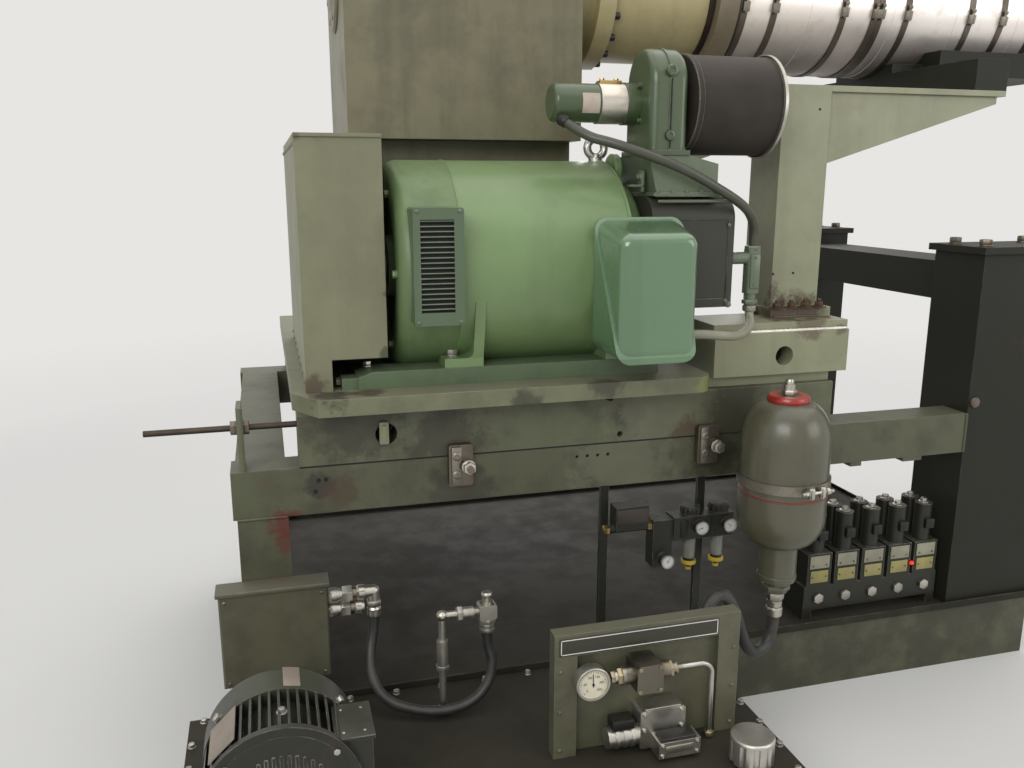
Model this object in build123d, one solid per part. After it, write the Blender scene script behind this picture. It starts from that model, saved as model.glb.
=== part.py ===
from build123d import *
import math
import os

# Blow molding machine, extruder and hydraulic end. All sizes are in millimetres.
# X runs from the left end of the frame along the extruder, Y away from the operator's side
# with the extruder's axis at 0, and Z up from the floor.

clearance = 0.3

# Frame
frame_length = 2427
frame_depth = 1280
skid_height = 200
skid_width = 75
skid_web = 9
tray_thickness = 8
tray_overhang = 15
tray_lip_height = 14
tray_lip_thickness = 5
leg_width = 120
leg_inset = 9
rail_height = 120
rail_width = 100
rail_top = 828
rail_hole_count = 4
rail_hole_x = 872
rail_hole_pitch = 29
rail_hole_radius = 4.5
rail_hole_drop = 32
rail_hole_depth = 15
column_width = 320
column_depth = 200
column_top = 1300
column_cap = 20
column_cap_margin = 15
tie_width = 200
tie_height = 120
tie_drop = 40

# Carriage that the drive stands on
carriage_left = 161
carriage_length = 1472
carriage_height = 127
carriage_cross_width = 110
lug_hole_x = 373
lug_hole_radius = 27
lug_hole_drop = 58
small_hole_x = 992
small_hole_radius = 8
small_hole_drop = 106
notch_x = 925
notch_width = 56
notch_depth = 14
base_plate_left = 151
base_plate_length = 1054
base_plate_thickness = 41
base_plate_overhang = 108
base_plate_chamfer_x = 57
base_plate_chamfer_y = 96
base_plate_corner = 45
packing_height = 21

# Jack screw and clamp blocks
jack_plate_left = 22
jack_plate_thickness = 12
jack_plate_height = 157
jack_plate_width = 80
jack_screw_radius = 7.5
jack_screw_left = -188
jack_screw_above_rail = 100
jack_nut_radius = 14
jack_nut_length = 13
clamp_block_places = [556, 1243]
clamp_block_width = 62
clamp_block_height = 108
clamp_block_thickness = 20
clamp_block_above_joint = 32
clamp_bolt_radius = 9
clamp_bolt_length = 45

# Drive motor
motor_y = -434
motor_radius = 268
motor_foot_height = 231
motor_left = 409
drive_end_length = 150
motor_body_length = 436
commutator_end_length = 55
commutator_end_step = 43
motor_foot_spacing = 356
motor_foot_length = 97
motor_foot_width = 96
motor_foot_thickness = 22
motor_foot_rib = 26
motor_foot_rib_depth = 130
motor_foot_rib_lean = 36
motor_foot_rib_drop = 66
motor_foot_round = 14
motor_foot_end_reach = 40
motor_rail_height = 41
motor_rail_width = 100
motor_rail_left = 308
motor_rail_length = 777
motor_rail_slope_length = 34
motor_rail_slope_height = 12
rail_stop_length = 38
rail_stop_width = 52
rail_stop_height = 27
rail_stop_setback = 8
motor_shaft_radius = 36
louvre_left_gap = 26
louvre_width = 118
louvre_height = 270
louvre_rise = 22
louvre_stand = 40
louvre_round = 8
louvre_border_left = 16
louvre_border_right = 23
louvre_border_top = 27
louvre_border_bottom = 30
louvre_recess = 9
louvre_count = 18
blade_thickness = 3
blade_tilt = 35
eye_radius = 24
eye_wire = 8
eye_shank = 11
eye_from_right = 10
terminal_box_left = 888
terminal_box_width = 192
terminal_box_height = 296
terminal_box_depth = 170
terminal_box_bottom = 1090
terminal_box_front = -872
terminal_box_flare_left = 4
terminal_box_flare_right = 34
terminal_box_flare_top = 28
terminal_box_corner = 34
terminal_box_round = 26
terminal_seam_reach = 5
terminal_seam_thickness = 9
terminal_neck_width = 110
terminal_neck_height = 110

# Blower on the commutator end
plenum_length = 235
plenum_rim = 22
plenum_panel_recess = 3
plenum_width = 480
plenum_bottom = 1184
plenum_top = 1468
plenum_round = 60
adapter_left = 1060
adapter_length = 165
adapter_width = 224
adapter_lean = 24
adapter_side_height = 79
adapter_height = 99
adapter_flange = 8
adapter_flange_margin = 10
blower_y = -560
blower_x = 1088
scroll_axis_rise = 128
scroll_length = 100
scroll_front = -672
scroll_depth = 168
scroll_top_rise = 130
scroll_round = 20
scroll_flange = 12
scroll_flange_margin = 5
scroll_seam = 6
blower_flange_radius = 52
blower_flange_length = 34
blower_motor_radius = 47
blower_motor_length = 190
blower_ring_radius = 49
blower_ring_length = 70
inlet_collar_radius = 56
inlet_collar_length = 20
filter_radius = 124
filter_length = 236
filter_cap_radius = 130
filter_cap_thickness = 8
conduit_box_width = 38
conduit_box_depth = 34
conduit_box_height = 118
conduit_box_bottom = 1212
conduit_box_y = -630
conduit_hub_radius = 16
conduit_hub_length = 56
conduit_fitting_radius = 15
conduit_fitting_length = 34

# Belt guard
guard_left = 185
guard_width = 195
guard_front = -664
guard_depth = 812
guard_top = 1609
guard_leg = 63
guard_notch = 76
guard_notch_depth = 480
guard_flange = 20
guard_flange_height = 8

# Reducer
reducer_left = 345
reducer_step = 40
reducer_right = 1008
reducer_half_width = 250
reducer_foot_front = -150
reducer_step_height = 1618
pedestal_height = 400
pedestal_inset = 30
pedestal_plate = 25
axis_height = 2068
reducer_cover_height = 270
reducer_crown = 60
reducer_joint = 24
reducer_joint_margin = 22
input_shaft_radius = 32
input_shaft_y = -20
input_shaft_height = 1500

# Extruder
adaptor_radius = 190
adaptor_length = 66
ring_radius = 222
ring_length = 52
feed_radius = 200
feed_length = 300
feed_groove_length = 14
feed_groove_depth = 8
throat_length = 200
throat_width = 180
throat_bore_length = 130
throat_bore_width = 110
throat_height = 70
throat_flange = 22
throat_flange_margin = 40
throat_hole_radius = 9
throat_bolt_length = 220
throat_bolt_width = 200
flange_gap = 18
barrel_flange_radius = 236
barrel_flange_length = 63
band_radius = 226
band_length = 14
shroud_radius = 218
shroud_end = 2900
strap_width = 20
strap_thickness = 3
strap_places = [1534, 1635, 1875, 1985, 2006, 2104, 2343, 2468, 2600, 2720, 2860]
strap_screw_radius = 6
strap_screw_length = 46
barrel_radius = 90
barrel_stub_length = 60
end_flange_radius = 150
end_flange_length = 50
end_bore_radius = 45
end_bore_depth = 100
end_bolt_circle = 230
end_bolt_radius = 9
end_bolt_count = 8

# Support beams, posts and arms beside the barrel
beam_left = 1259
beam_length = 413
beam_width = 200
beam_height = 118
beam_gap = 30
beam_pad_inset = 25
beam_hole_x = 1472
beam_hole_drop = 8
beam_hole_radius = 27
beam_hole_depth = 60
beam_top_plate = 25
beam_top_plate_inset = 10
post_left = 1492
post_width = 150
post_depth = 150
post_setback = 120
post_plate_thickness = 25
post_plate_margin = 26
arm_thickness = 16
arm_end = 2225
arm_web_thickness = 20
arm_web_root = 194
arm_web_tip = 20
arm_web_setback = 12
cradle_width = 110
cradle_height = 88
saddle_width = 300
saddle_top = 1878
trough_length = 480
trough_width = 470
trough_bottom = 1836
trough_top = 1913

# Hydraulic unit in front of the frame
tank_left = -120
tank_length = 1325
tank_front = -1230
tank_depth = 560
tank_height = 200
tank_cover = 12
tank_cover_margin = 14
panel_left = 679
panel_length = 460
panel_front = -1050
panel_depth = 36
panel_top = 520
panel_upright = 54
panel_recess = 22
gauge_x = 762
gauge_height = 405
gauge_radius = 40
gauge_depth = 26
gauge_stem_radius = 10
relief_valve_x = 892
relief_valve_height = 408
relief_valve_width = 64
relief_valve_size = 70
relief_valve_reach = 44
drain_pipe_radius = 6.5
drain_pipe_bend = 30
drain_pipe_x = 1063
directional_valve_left = 878
directional_valve_width = 113
directional_valve_depth = 54
directional_valve_bottom = 222
directional_valve_height = 96
directional_nose_offset = 27
directional_nose_width = 103
directional_nose_depth = 46
directional_nose_height = 40
coil_length = 76
coil_radius = 24
coil_ring_length = 9
breather_x = 1112
breather_y = -1176
breather_radius = 50
breather_height = 62
breather_neck = 30
breather_stand = 8
breather_flutes = 10
breather_flute_radius = 9
pump_motor_x = 85
pump_motor_front = -1238
pump_motor_height = 370
pump_motor_radius = 153
pump_motor_core = 122
end_plate_thickness = 14
fin_length = 119
fin_thickness = 5
fin_pitch = 18
fins_each_side = 8
shoulder_length = 95
shoulder_round = 22
motor_box_x = (188, 256)
motor_box_depth = 110
motor_box_z = (296, 470)
pump_foot_length = 210
pump_foot_width = 40
bell_length = 60
bell_radius = 110
pump_radius = 62
pump_length = 70
standpipe_x = 473
standpipe_y = -798
standpipe_radius = 9
standpipe_sleeve_radius = 14
standpipe_sleeve = (345, 410)
standpipe_branch_height = 474
stop_valve_x = 586
stop_valve_width = 44
stop_valve_height = 38
stop_valve_neck_radius = 17
stop_valve_neck = 32
stop_valve_knob_radius = 12
stop_valve_knob = 26
accumulator_x = 1395
accumulator_y = -792
accumulator_radius = 114.5
accumulator_bottom = 560
accumulator_top = 950
accumulator_neck_radius = 50
accumulator_neck_length = 104
accumulator_port_radius = 31
accumulator_port_length = 36
accumulator_crown = 105
accumulator_foot_height = 90
hose_coupling_radius = 19
hose_coupling_length = 70
gas_cap_radius = 50
gas_cap_height = 16
gas_stem_radius = 14
gas_stem_height = 30
clamp_band_height = 26
clamp_band_thickness = 5
clamp_level = 742
clamp_arm_width = 40

# Junction box on the left leg
junction_left = -46
junction_width = 255
junction_depth = 60
junction_bottom = 300
junction_top = 548
coupling_radius = 15
coupling_length = 100
lower_coupling_length = 90
coupling_pitch = 38
coupling_from_top = 48
elbow_drop = 64

# Air unit and valve bank under the rail
strut_places = [982, 1278]
strut_width = 24
strut_y = -560
air_unit_left = 1171
air_unit_length = 184
air_unit_bottom = 518
air_unit_height = 68
air_unit_depth = 56
air_dome_radius = 26
air_dome_height = 24
air_bowl_from_left = [62, 149]
air_bowl_radius = 17
air_bowl_length = 82
air_ring_radius = 21
air_ring_height = 8
air_nipple_radius = 7
air_nipple_length = 20
air_gauge_radius = 20
air_gauge_depth = 16
air_gauge_places = [(1248, 555), (1336, 554), (1147, 465)]
low_regulator_width = 60
low_regulator_drop = 138
low_regulator_top = 580
brass_valve_left = 975
brass_valve_level = 562
brass_valve_radius = 12
solenoid_left = 998
solenoid_width = 96
solenoid_height = 56
solenoid_depth = 48
valve_bank_gap = 24
valve_bank_length = 470
valve_bank_front = -612
valve_bank_width = 120
valve_bank_foot = 30
valve_bank_height = 76
valve_count = 5
valve_body_width = 82
valve_body_height = 104
valve_coil_radius = 26
valve_coil_height = 118

# Hoses and cables
accumulator_hose_diameter = 32
loop_hose_diameter = 25
blower_cable_diameter = 24
flexible_conduit_diameter = 23

# Levels and faces that follow from the sizes above
front_face = -frame_depth / 2
tray_top = skid_height + tray_thickness
rail_bottom = rail_top - rail_height
rail_length = frame_length - column_width
carriage_top = rail_top + carriage_height
carriage_right = carriage_left + carriage_length
base_plate_top = carriage_top + packing_height + base_plate_thickness
base_plate_front = front_face - base_plate_overhang
motor_rail_top = base_plate_top + motor_rail_height
motor_height = motor_rail_top + motor_foot_height
motor_body_left = motor_left + drive_end_length
motor_body_right = motor_body_left + motor_body_length
motor_right = motor_body_right + commutator_end_length
guard_right = guard_left + guard_width
plenum_left = motor_right
plenum_right = plenum_left + plenum_length
adapter_top = plenum_top + adapter_height
blower_axis_height = adapter_top + scroll_axis_rise
blower_left = blower_x - scroll_length / 2
blower_right = blower_x + scroll_length / 2
filter_left = blower_right + inlet_collar_length
blower_motor_right = blower_left - blower_flange_length
terminal_box_right = terminal_box_left + terminal_box_width
terminal_box_top = terminal_box_bottom + terminal_box_height
terminal_box_back = terminal_box_front + terminal_box_depth
ring_left = reducer_right + adaptor_length
feed_left = ring_left + ring_length
feed_right = feed_left + feed_length
barrel_flange_left = feed_right + flange_gap
barrel_flange_right = barrel_flange_left + barrel_flange_length
shroud_left = barrel_flange_right + band_length
barrel_end = shroud_end + barrel_stub_length
machine_end = barrel_end + end_flange_length
beam_bottom = carriage_top + beam_gap
beam_top = beam_bottom + beam_height
post_foot = beam_top + beam_top_plate + post_plate_thickness
post_front = front_face + post_setback
arm_height = axis_height - shroud_radius - clearance - cradle_height
panel_back = panel_front + panel_depth
panel_right = panel_left + panel_length
panel_face = panel_front + panel_recess
tank_top = tank_height + tank_cover
valve_bank_left = rail_length - valve_bank_gap - valve_bank_length


def block(x, y, z):
    size = [high - low for low, high in (x, y, z)]
    middle = [(low + high) / 2 for low, high in (x, y, z)]
    return Pos(*middle) * Box(*size)


def rod_x(radius, x, y, z):
    return Pos(sum(x) / 2, y, z) * Rot(0, 90, 0) * Cylinder(radius, x[1] - x[0])


def rod_y(radius, x, y, z):
    return Pos(x, sum(y) / 2, z) * Rot(90, 0, 0) * Cylinder(radius, y[1] - y[0])


def rod_z(radius, x, y, z):
    return Pos(x, y, sum(z) / 2) * Cylinder(radius, z[1] - z[0])


def plate_profile(points, y):
    # a plate in the X-Z plane, from its outline and its two faces along Y
    outline = Polyline(*points, close=True)
    face = Pos(0, y[1], 0) * Rot(90, 0, 0) * make_face(outline)
    return extrude(face, amount=y[1] - y[0], dir=(0, -1, 0))


def side_profile(points, x):
    # a plate in the Y-Z plane, from its outline and its two faces along X
    outline = Polyline(*[(x[0], y, z) for y, z in points], close=True)
    return extrude(make_face(outline), amount=x[1] - x[0], dir=(1, 0, 0))


def rounded_rectangle(x, z, y, radius):
    # upright rectangle with round corners at one distance from the operator
    shape = RectangleRounded(x[1] - x[0], z[1] - z[0], radius)
    return Plane(origin=(sum(x) / 2, y, sum(z) / 2), x_dir=(1, 0, 0), z_dir=(0, -1, 0)) * shape


def mirrored(shape):
    return mirror(shape, about=Plane.XZ)


def skid_beam():
    # channel with its web outside and its flanges inward
    y = (front_face, front_face + skid_width)
    beam = block((0, frame_length), y, (0, skid_height))
    inside = (front_face + skid_web, y[1] + 1)
    return beam - block((-1, frame_length + 1), inside, (skid_web, skid_height - skid_web))


def skid_cross(x):
    reach = -front_face - skid_width
    return block(x, (-reach, reach), (0, skid_height))


def base_tray():
    x = (-tray_overhang, frame_length + tray_overhang)
    y = (front_face - tray_overhang, -front_face + tray_overhang)
    lip = tray_lip_thickness
    tray = block(x, y, (skid_height, tray_top + tray_lip_height))
    inside = block((x[0] + lip, x[1] - lip), (y[0] + lip, y[1] - lip), (tray_top, tray_top + tray_lip_height + 1))
    return tray - inside


def left_leg():
    y = (front_face, front_face + rail_width)
    return block((leg_inset, leg_inset + leg_width), y, (tray_top, rail_bottom))


def rail():
    return block((0, rail_length), (front_face, front_face + rail_width), (rail_bottom, rail_top))


def front_rail():
    # the operator's rail has a short row of plain holes
    beam = rail()
    for number in range(rail_hole_count):
        x = rail_hole_x + number * rail_hole_pitch
        beam -= rod_y(rail_hole_radius, x, (front_face - 1, front_face + rail_hole_depth), rail_top - rail_hole_drop)
    return beam


def rail_cross(x):
    reach = -front_face - rail_width
    return block(x, (-reach, reach), (rail_bottom, rail_top))


def column():
    x = (rail_length, frame_length)
    y = (front_face, front_face + column_depth)
    margin = column_cap_margin
    shaft = block(x, y, (tray_top, column_top))
    cap = block((x[0] - margin, x[1] + margin), (y[0] - margin, y[1] + margin), (column_top, column_top + column_cap))
    return shaft + cap


def column_tie():
    middle = rail_length + column_width / 2
    reach = -front_face - column_depth
    x = (middle - tie_width / 2, middle + tie_width / 2)
    z = (column_top - tie_drop - tie_height, column_top - tie_drop)
    return block(x, (-reach, reach), z)


def plain_carriage_beam():
    x = (carriage_left, carriage_right)
    return block(x, (front_face, front_face + rail_width), (rail_top, carriage_top))


def front_carriage_beam():
    y = (front_face - 1, front_face + rail_width + 1)
    beam = plain_carriage_beam()
    beam -= rod_y(lug_hole_radius, lug_hole_x, y, carriage_top - lug_hole_drop)
    beam -= rod_y(small_hole_radius, small_hole_x, (y[0], front_face + rail_width / 2), carriage_top - small_hole_drop)
    notch = [
        (notch_x, carriage_top + 1),
        (notch_x + notch_width, carriage_top + 1),
        (notch_x + notch_width * 0.7, carriage_top - notch_depth),
    ]
    return beam - plate_profile(notch, (y[0], front_face + rail_width / 4))


def carriage_cross(x):
    reach = -front_face - rail_width
    return block(x, (-reach, reach), (rail_top, carriage_top))


def base_plate():
    # thick plate that overhangs the carriage, on packing over its two beams
    left = base_plate_left
    right = left + base_plate_length
    front = base_plate_front
    low = carriage_top + packing_height
    outline = Polyline(
        (left, front + base_plate_chamfer_y),
        (left + base_plate_chamfer_x, front),
        (right, front),
        (right, -front_face),
        (left, -front_face),
        close=True,
    )
    plate = extrude(Pos(0, 0, low) * make_face(outline), amount=base_plate_thickness)
    corner = plate.edges().filter_by(Axis.Z).sort_by_distance((right, front, low))[0]
    plate = fillet(corner, base_plate_corner)
    inner = front_face + rail_width
    x = (max(left, carriage_left), right - base_plate_corner)
    plate += block(x, (front_face, inner), (carriage_top, low))
    return plate + block(x, (-inner, -front_face), (carriage_top, low))


def jack_bracket():
    x = (jack_plate_left, jack_plate_left + jack_plate_thickness)
    y = (front_face, front_face + jack_plate_width)
    plate = block(x, y, (rail_top, rail_top + jack_plate_height))
    hole = rod_x(jack_screw_radius + clearance, (x[0] - 1, x[1] + 1), sum(y) / 2, rail_top + jack_screw_above_rail)
    return plate - hole


def jack_screw():
    y = front_face + jack_plate_width / 2
    z = rail_top + jack_screw_above_rail
    left = jack_plate_left
    right = left + jack_plate_thickness
    screw = rod_x(jack_screw_radius, (jack_screw_left, carriage_left), y, z)
    screw += rod_x(jack_nut_radius, (left - jack_nut_length, left), y, z)
    screw += rod_x(jack_nut_radius, (right, right + jack_nut_length), y, z)
    return screw


def clamp_block(x):
    y = (front_face - clamp_block_thickness, front_face)
    top = rail_top + clamp_block_above_joint
    half = clamp_block_width / 2
    plate = block((x - half, x + half), y, (top - clamp_block_height, top))
    plate = chamfer(plate.edges().filter_by(Axis.Y), clamp_block_thickness / 4)
    bolt_level = top - clamp_block_height / 2
    bolt = rod_y(clamp_bolt_radius, x + half / 2, (y[0] - clamp_bolt_length, y[0]), bolt_level)
    nut = rod_y(clamp_bolt_radius * 1.8, x + half / 2, (y[0] - clamp_bolt_radius, y[0]), bolt_level)
    return plate + bolt + nut


def motor_rail(side):
    # slide rail with a sloped left end, and the block that stops it there
    middle = motor_y + side * motor_foot_spacing / 2
    left = motor_rail_left
    right = left + motor_rail_length
    half = motor_rail_width / 2
    outline = [
        (left, base_plate_top),
        (right, base_plate_top),
        (right, motor_rail_top),
        (left + motor_rail_slope_length, motor_rail_top),
        (left, motor_rail_top - motor_rail_slope_height),
    ]
    bar = plate_profile(outline, (middle - half, middle + half))
    stop_y = (middle - half + rail_stop_setback, middle - half + rail_stop_setback + rail_stop_width)
    stop = block((left - rail_stop_length, left), stop_y, (base_plate_top, base_plate_top + rail_stop_height))
    return bar + stop


def motor_foot(x, side):
    # pad on the slide rail with a web that leans out to the frame's widest part
    middle = motor_y + side * motor_foot_spacing / 2
    half = motor_foot_width / 2
    right = x + motor_foot_length
    pad_top = motor_rail_top + motor_foot_thickness
    pad = block((x, right), (middle - half, middle + half), (motor_rail_top, pad_top))
    outer = middle + side * half
    inner = outer - side * motor_foot_rib_depth
    web_top = motor_height - motor_foot_rib_drop
    web = [(inner, pad_top), (outer, pad_top), (outer + side * motor_foot_rib_lean, web_top), (inner, web_top)]
    foot = pad + side_profile(web, (right - motor_foot_rib, right))
    corner = foot.edges().filter_by(Axis.Y).sort_by_distance((right - motor_foot_rib, middle, pad_top))[0]
    return fillet(corner, motor_foot_round)


def motor_frame():
    body = rod_x(motor_radius, (motor_body_left, motor_body_right), motor_y, motor_height)
    reach = motor_foot_end_reach
    for x in (motor_body_left - reach, motor_body_right + reach - motor_foot_length):
        for side in (-1, 1):
            body += motor_foot(x, side)
    return body - rod_x(motor_radius + clearance, (motor_left, motor_body_left), motor_y, motor_height)


def motor_drive_end():
    x = (motor_left, motor_body_left)
    bell = rod_x(motor_radius, x, motor_y, motor_height)
    rim = bell.edges().filter_by(GeomType.CIRCLE).sort_by(Axis.X)[0]
    bell = fillet(rim, motor_radius * 0.12)
    dish = rod_x(motor_radius * 0.72, (motor_left - 1, motor_left + motor_radius * 0.08), motor_y, motor_height)
    hub = rod_x(motor_radius * 0.3, (motor_left, motor_left + motor_radius * 0.09), motor_y, motor_height)
    return bell - dish + hub


def motor_commutator_end():
    x = (motor_body_right, motor_right)
    end = rod_x(motor_radius - commutator_end_step, x, motor_y, motor_height)
    rim = end.edges().filter_by(GeomType.CIRCLE).sort_by(Axis.X)[-1]
    return fillet(rim, motor_radius * 0.1)


def motor_shaft():
    return rod_x(motor_shaft_radius, (guard_right, motor_left), motor_y, motor_height)


def louvre_cover():
    # sheet frame over the bell's window, its field filled with slanted blades
    left = motor_left + louvre_left_gap
    x = (left, left + louvre_width)
    z = (motor_height + louvre_rise - louvre_height / 2, motor_height + louvre_rise + louvre_height / 2)
    front = motor_y - motor_radius - louvre_stand
    cover = block(x, (front, motor_y - motor_radius * 0.75), z)
    cover = fillet(cover.edges().filter_by(Axis.Y), louvre_round)
    cover -= rod_x(motor_radius + clearance, (x[0] - 1, x[1] + 1), motor_y, motor_height)
    field_x = (x[0] + louvre_border_left, x[1] - louvre_border_right)
    field_z = (z[0] + louvre_border_bottom, z[1] - louvre_border_top)
    cover -= block(field_x, (front - 1, front + louvre_recess), field_z)
    pitch = (field_z[1] - field_z[0]) / louvre_count
    depth = louvre_recess / math.cos(math.radians(blade_tilt))
    blade = Rot(-blade_tilt, 0, 0) * Box(field_x[1] - field_x[0], depth, blade_thickness)
    for number in range(louvre_count):
        level = field_z[0] + pitch * (number + 0.5)
        cover += Pos(sum(field_x) / 2, front + louvre_recess / 2 + blade_thickness / 2, level) * blade
    return cover


def lifting_eye():
    x = motor_body_right - eye_from_right
    top = motor_height + motor_radius
    ring = Pos(x, motor_y, top + eye_shank + eye_radius) * Rot(90, 0, 0) * Torus(eye_radius, eye_wire)
    shank = rod_z(eye_wire * 1.5, x, motor_y, (top, top + eye_shank + eye_wire))
    collar = rod_z(eye_radius * 0.8, x, motor_y, (top - eye_wire, top + eye_wire))
    seat = rod_x(motor_radius, (x - 2 * eye_radius, x + 2 * eye_radius), motor_y, motor_height)
    return ring + shank + collar - seat


def terminal_box():
    # tapered housing on a neck, parted along a slanted seam from its back top to its front bottom
    x = (terminal_box_left, terminal_box_right)
    z = (terminal_box_bottom, terminal_box_top)
    flared_x = (x[0] - terminal_box_flare_left, x[1] + terminal_box_flare_right)
    flared_z = (z[0], z[1] + terminal_box_flare_top)
    front = terminal_box_front
    back = terminal_box_back

    def housing(reach):
        near = rounded_rectangle((x[0] - reach, x[1] + reach), (z[0] - reach, z[1] + reach), front, terminal_box_corner)
        far_x = (flared_x[0] - reach, flared_x[1] + reach)
        far_z = (flared_z[0] - reach, flared_z[1] + reach)
        return loft([near, rounded_rectangle(far_x, far_z, back, terminal_box_corner)])

    box = housing(0)
    box = fillet(box.faces().sort_by(Axis.Y)[0].edges(), terminal_box_round)
    rise = flared_z[1] - z[0]
    depth = back - front
    tilt = math.degrees(math.atan2(rise, depth))
    middle = Pos(sum(x) / 2, (front + back) / 2, (z[0] + flared_z[1]) / 2)
    slab = middle * Rot(tilt, 0, 0) * Box(2 * terminal_box_height, 2 * terminal_box_height, terminal_seam_thickness)
    seam = housing(terminal_seam_reach) & slab
    centre = sum(x) / 2
    neck = block(
        (centre - terminal_neck_width / 2, centre + terminal_neck_width / 2),
        (back, motor_y - motor_radius * 0.8),
        (motor_height - terminal_neck_height / 2, motor_height + terminal_neck_height / 2),
    )
    shape = box + seam + neck
    return shape - rod_x(motor_radius + clearance, (flared_x[0] - 1, flared_x[1] + 1), motor_y, motor_height)


def blower_plenum():
    half = plenum_width / 2
    box = block((plenum_left, plenum_right), (motor_y - half, motor_y + half), (plenum_bottom, plenum_top))
    shoulders = box.edges().filter_by(Axis.X).group_by(Axis.Z)[-1]
    box = fillet(shoulders, plenum_round)
    box = fillet(box.edges().filter_by(Axis.Y).group_by(Axis.X)[-1], plenum_round / 4)
    rim = plenum_rim
    panel_x = (plenum_left + rim, plenum_right - rim)
    front = motor_y - half
    return box - block(panel_x, (front - 1, front + plenum_panel_recess), (plenum_bottom + rim, plenum_top - plenum_round))


def blower_adapter():
    # sheet duct with a sloped roof between the plenum and the scroll's outlet
    y = (blower_y - adapter_width / 2, blower_y + adapter_width / 2)
    right = adapter_left + adapter_length
    shoulder = plenum_top + adapter_side_height
    outline = [
        (adapter_left, plenum_top),
        (right, plenum_top),
        (right, shoulder),
        (blower_right + scroll_flange_margin, adapter_top),
        (adapter_left - adapter_lean, adapter_top),
    ]
    margin = adapter_flange_margin
    flange_y = (y[0] - margin / 2, y[1] + margin)
    flange = block((adapter_left - margin, right + margin), flange_y, (plenum_top, plenum_top + adapter_flange))
    return plate_profile(outline, y) + flange


def blower_scroll():
    # cast fan housing: upright with a round top, with a raised seam where its halves part
    radius = scroll_depth / 2
    middle = scroll_front + radius
    crown = blower_axis_height + scroll_top_rise - radius

    def upright(x, reach):
        y = (scroll_front - reach, scroll_front + scroll_depth + reach)
        return block(x, y, (adapter_top, crown)) + rod_x(radius + reach, x, middle, crown)

    housing = upright((blower_left, blower_right), 0)
    ends = housing.faces().sort_by(Axis.X)
    rims = [*ends[0].edges(), *ends[-1].edges()]
    rims = [edge for edge in rims if edge.center().Z > adapter_top + 1]
    housing = fillet(rims, scroll_round)
    margin = scroll_flange_margin
    flange_y = (scroll_front - margin, scroll_front + scroll_depth + margin)
    flange_x = (blower_left - margin, blower_right + margin)
    housing += block(flange_x, flange_y, (adapter_top, adapter_top + scroll_flange))
    housing += upright((blower_x - scroll_seam / 2, blower_x + scroll_seam / 2), scroll_seam / 2)
    collar = rod_x(inlet_collar_radius, (blower_right - scroll_round, filter_left), blower_y, blower_axis_height)
    return housing + collar


def blower_motor():
    right = blower_motor_right
    end = right - blower_motor_length
    body = rod_x(blower_motor_radius, (end, right - blower_ring_length), blower_y, blower_axis_height)
    rim = body.edges().filter_by(GeomType.CIRCLE).sort_by(Axis.X)[0]
    return fillet(rim, blower_motor_radius * 0.25)


def blower_motor_ring():
    x = (blower_motor_right - blower_ring_length, blower_motor_right)
    ring = rod_x(blower_ring_radius, x, blower_y, blower_axis_height)
    return ring + rod_x(blower_flange_radius, (blower_motor_right, blower_left), blower_y, blower_axis_height)


def blower_filter():
    x = (filter_left, filter_left + filter_length)
    return rod_x(filter_radius, x, blower_y, blower_axis_height)


def filter_cap():
    left = filter_left + filter_length
    cap = rod_x(filter_cap_radius, (left, left + filter_cap_thickness), blower_y, blower_axis_height)
    return fillet(cap.edges().filter_by(GeomType.CIRCLE).sort_by(Axis.X)[-1], filter_cap_thickness / 2)


def conduit_box():
    # cast pulling elbow on a hub at the plenum's side, with a fitting below
    x = (plenum_right + conduit_hub_length, plenum_right + conduit_hub_length + conduit_box_width)
    half = conduit_box_depth / 2
    z = (conduit_box_bottom, conduit_box_bottom + conduit_box_height)
    body = block(x, (conduit_box_y - half, conduit_box_y + half), z)
    body = fillet(body.edges().filter_by(Axis.Z), conduit_box_width / 4)
    hub_level = z[1] - conduit_hub_radius * 1.5
    body += rod_x(conduit_hub_radius, (plenum_right, x[0] + conduit_hub_radius / 2), conduit_box_y, hub_level)
    middle = sum(x) / 2
    body += rod_z(conduit_fitting_radius, middle, conduit_box_y, (z[0] - conduit_fitting_length, z[0]))
    return body


def belt_guard():
    x = (guard_left, guard_right)
    y = (guard_front, guard_front + guard_depth)
    guard = block(x, y, (base_plate_top, guard_top))
    notch = block(
        (x[0] + guard_leg, x[1] + 1),
        (y[0] - 1, y[0] + guard_notch_depth),
        (base_plate_top - 1, base_plate_top + guard_notch),
    )
    guard -= notch
    lid = block(x, (y[0] - guard_flange / 4, y[1]), (guard_top - guard_flange_height, guard_top))
    return guard + lid


def input_shaft():
    return rod_x(input_shaft_radius, (guard_right, reducer_left + reducer_step), input_shaft_y, input_shaft_height)


def reducer_pedestal():
    inset = pedestal_inset
    x = (reducer_left + reducer_step, reducer_right)
    y = (reducer_foot_front, reducer_half_width)
    top = base_plate_top + pedestal_height
    body = block((x[0] + inset, x[1] - inset), (y[0] + inset, y[1] - inset), (base_plate_top, top))
    foot = block(x, y, (base_plate_top, base_plate_top + pedestal_plate))
    head = block(x, y, (top - pedestal_plate, top))
    return body + foot + head


def reducer_housing():
    # lower half of the gear case, wider above the belt guard and the motor
    half = reducer_half_width
    foot_x = (reducer_left + reducer_step, reducer_right)
    foot_z = (base_plate_top + pedestal_height, reducer_step_height)
    case = block(foot_x, (reducer_foot_front, half), foot_z)
    case += block((reducer_left, reducer_right), (-half, half), (reducer_step_height, axis_height))
    margin = reducer_joint_margin
    joint = block((reducer_left, reducer_right), (-half - margin, half + margin), (axis_height - reducer_joint, axis_height))
    return case + joint


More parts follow.
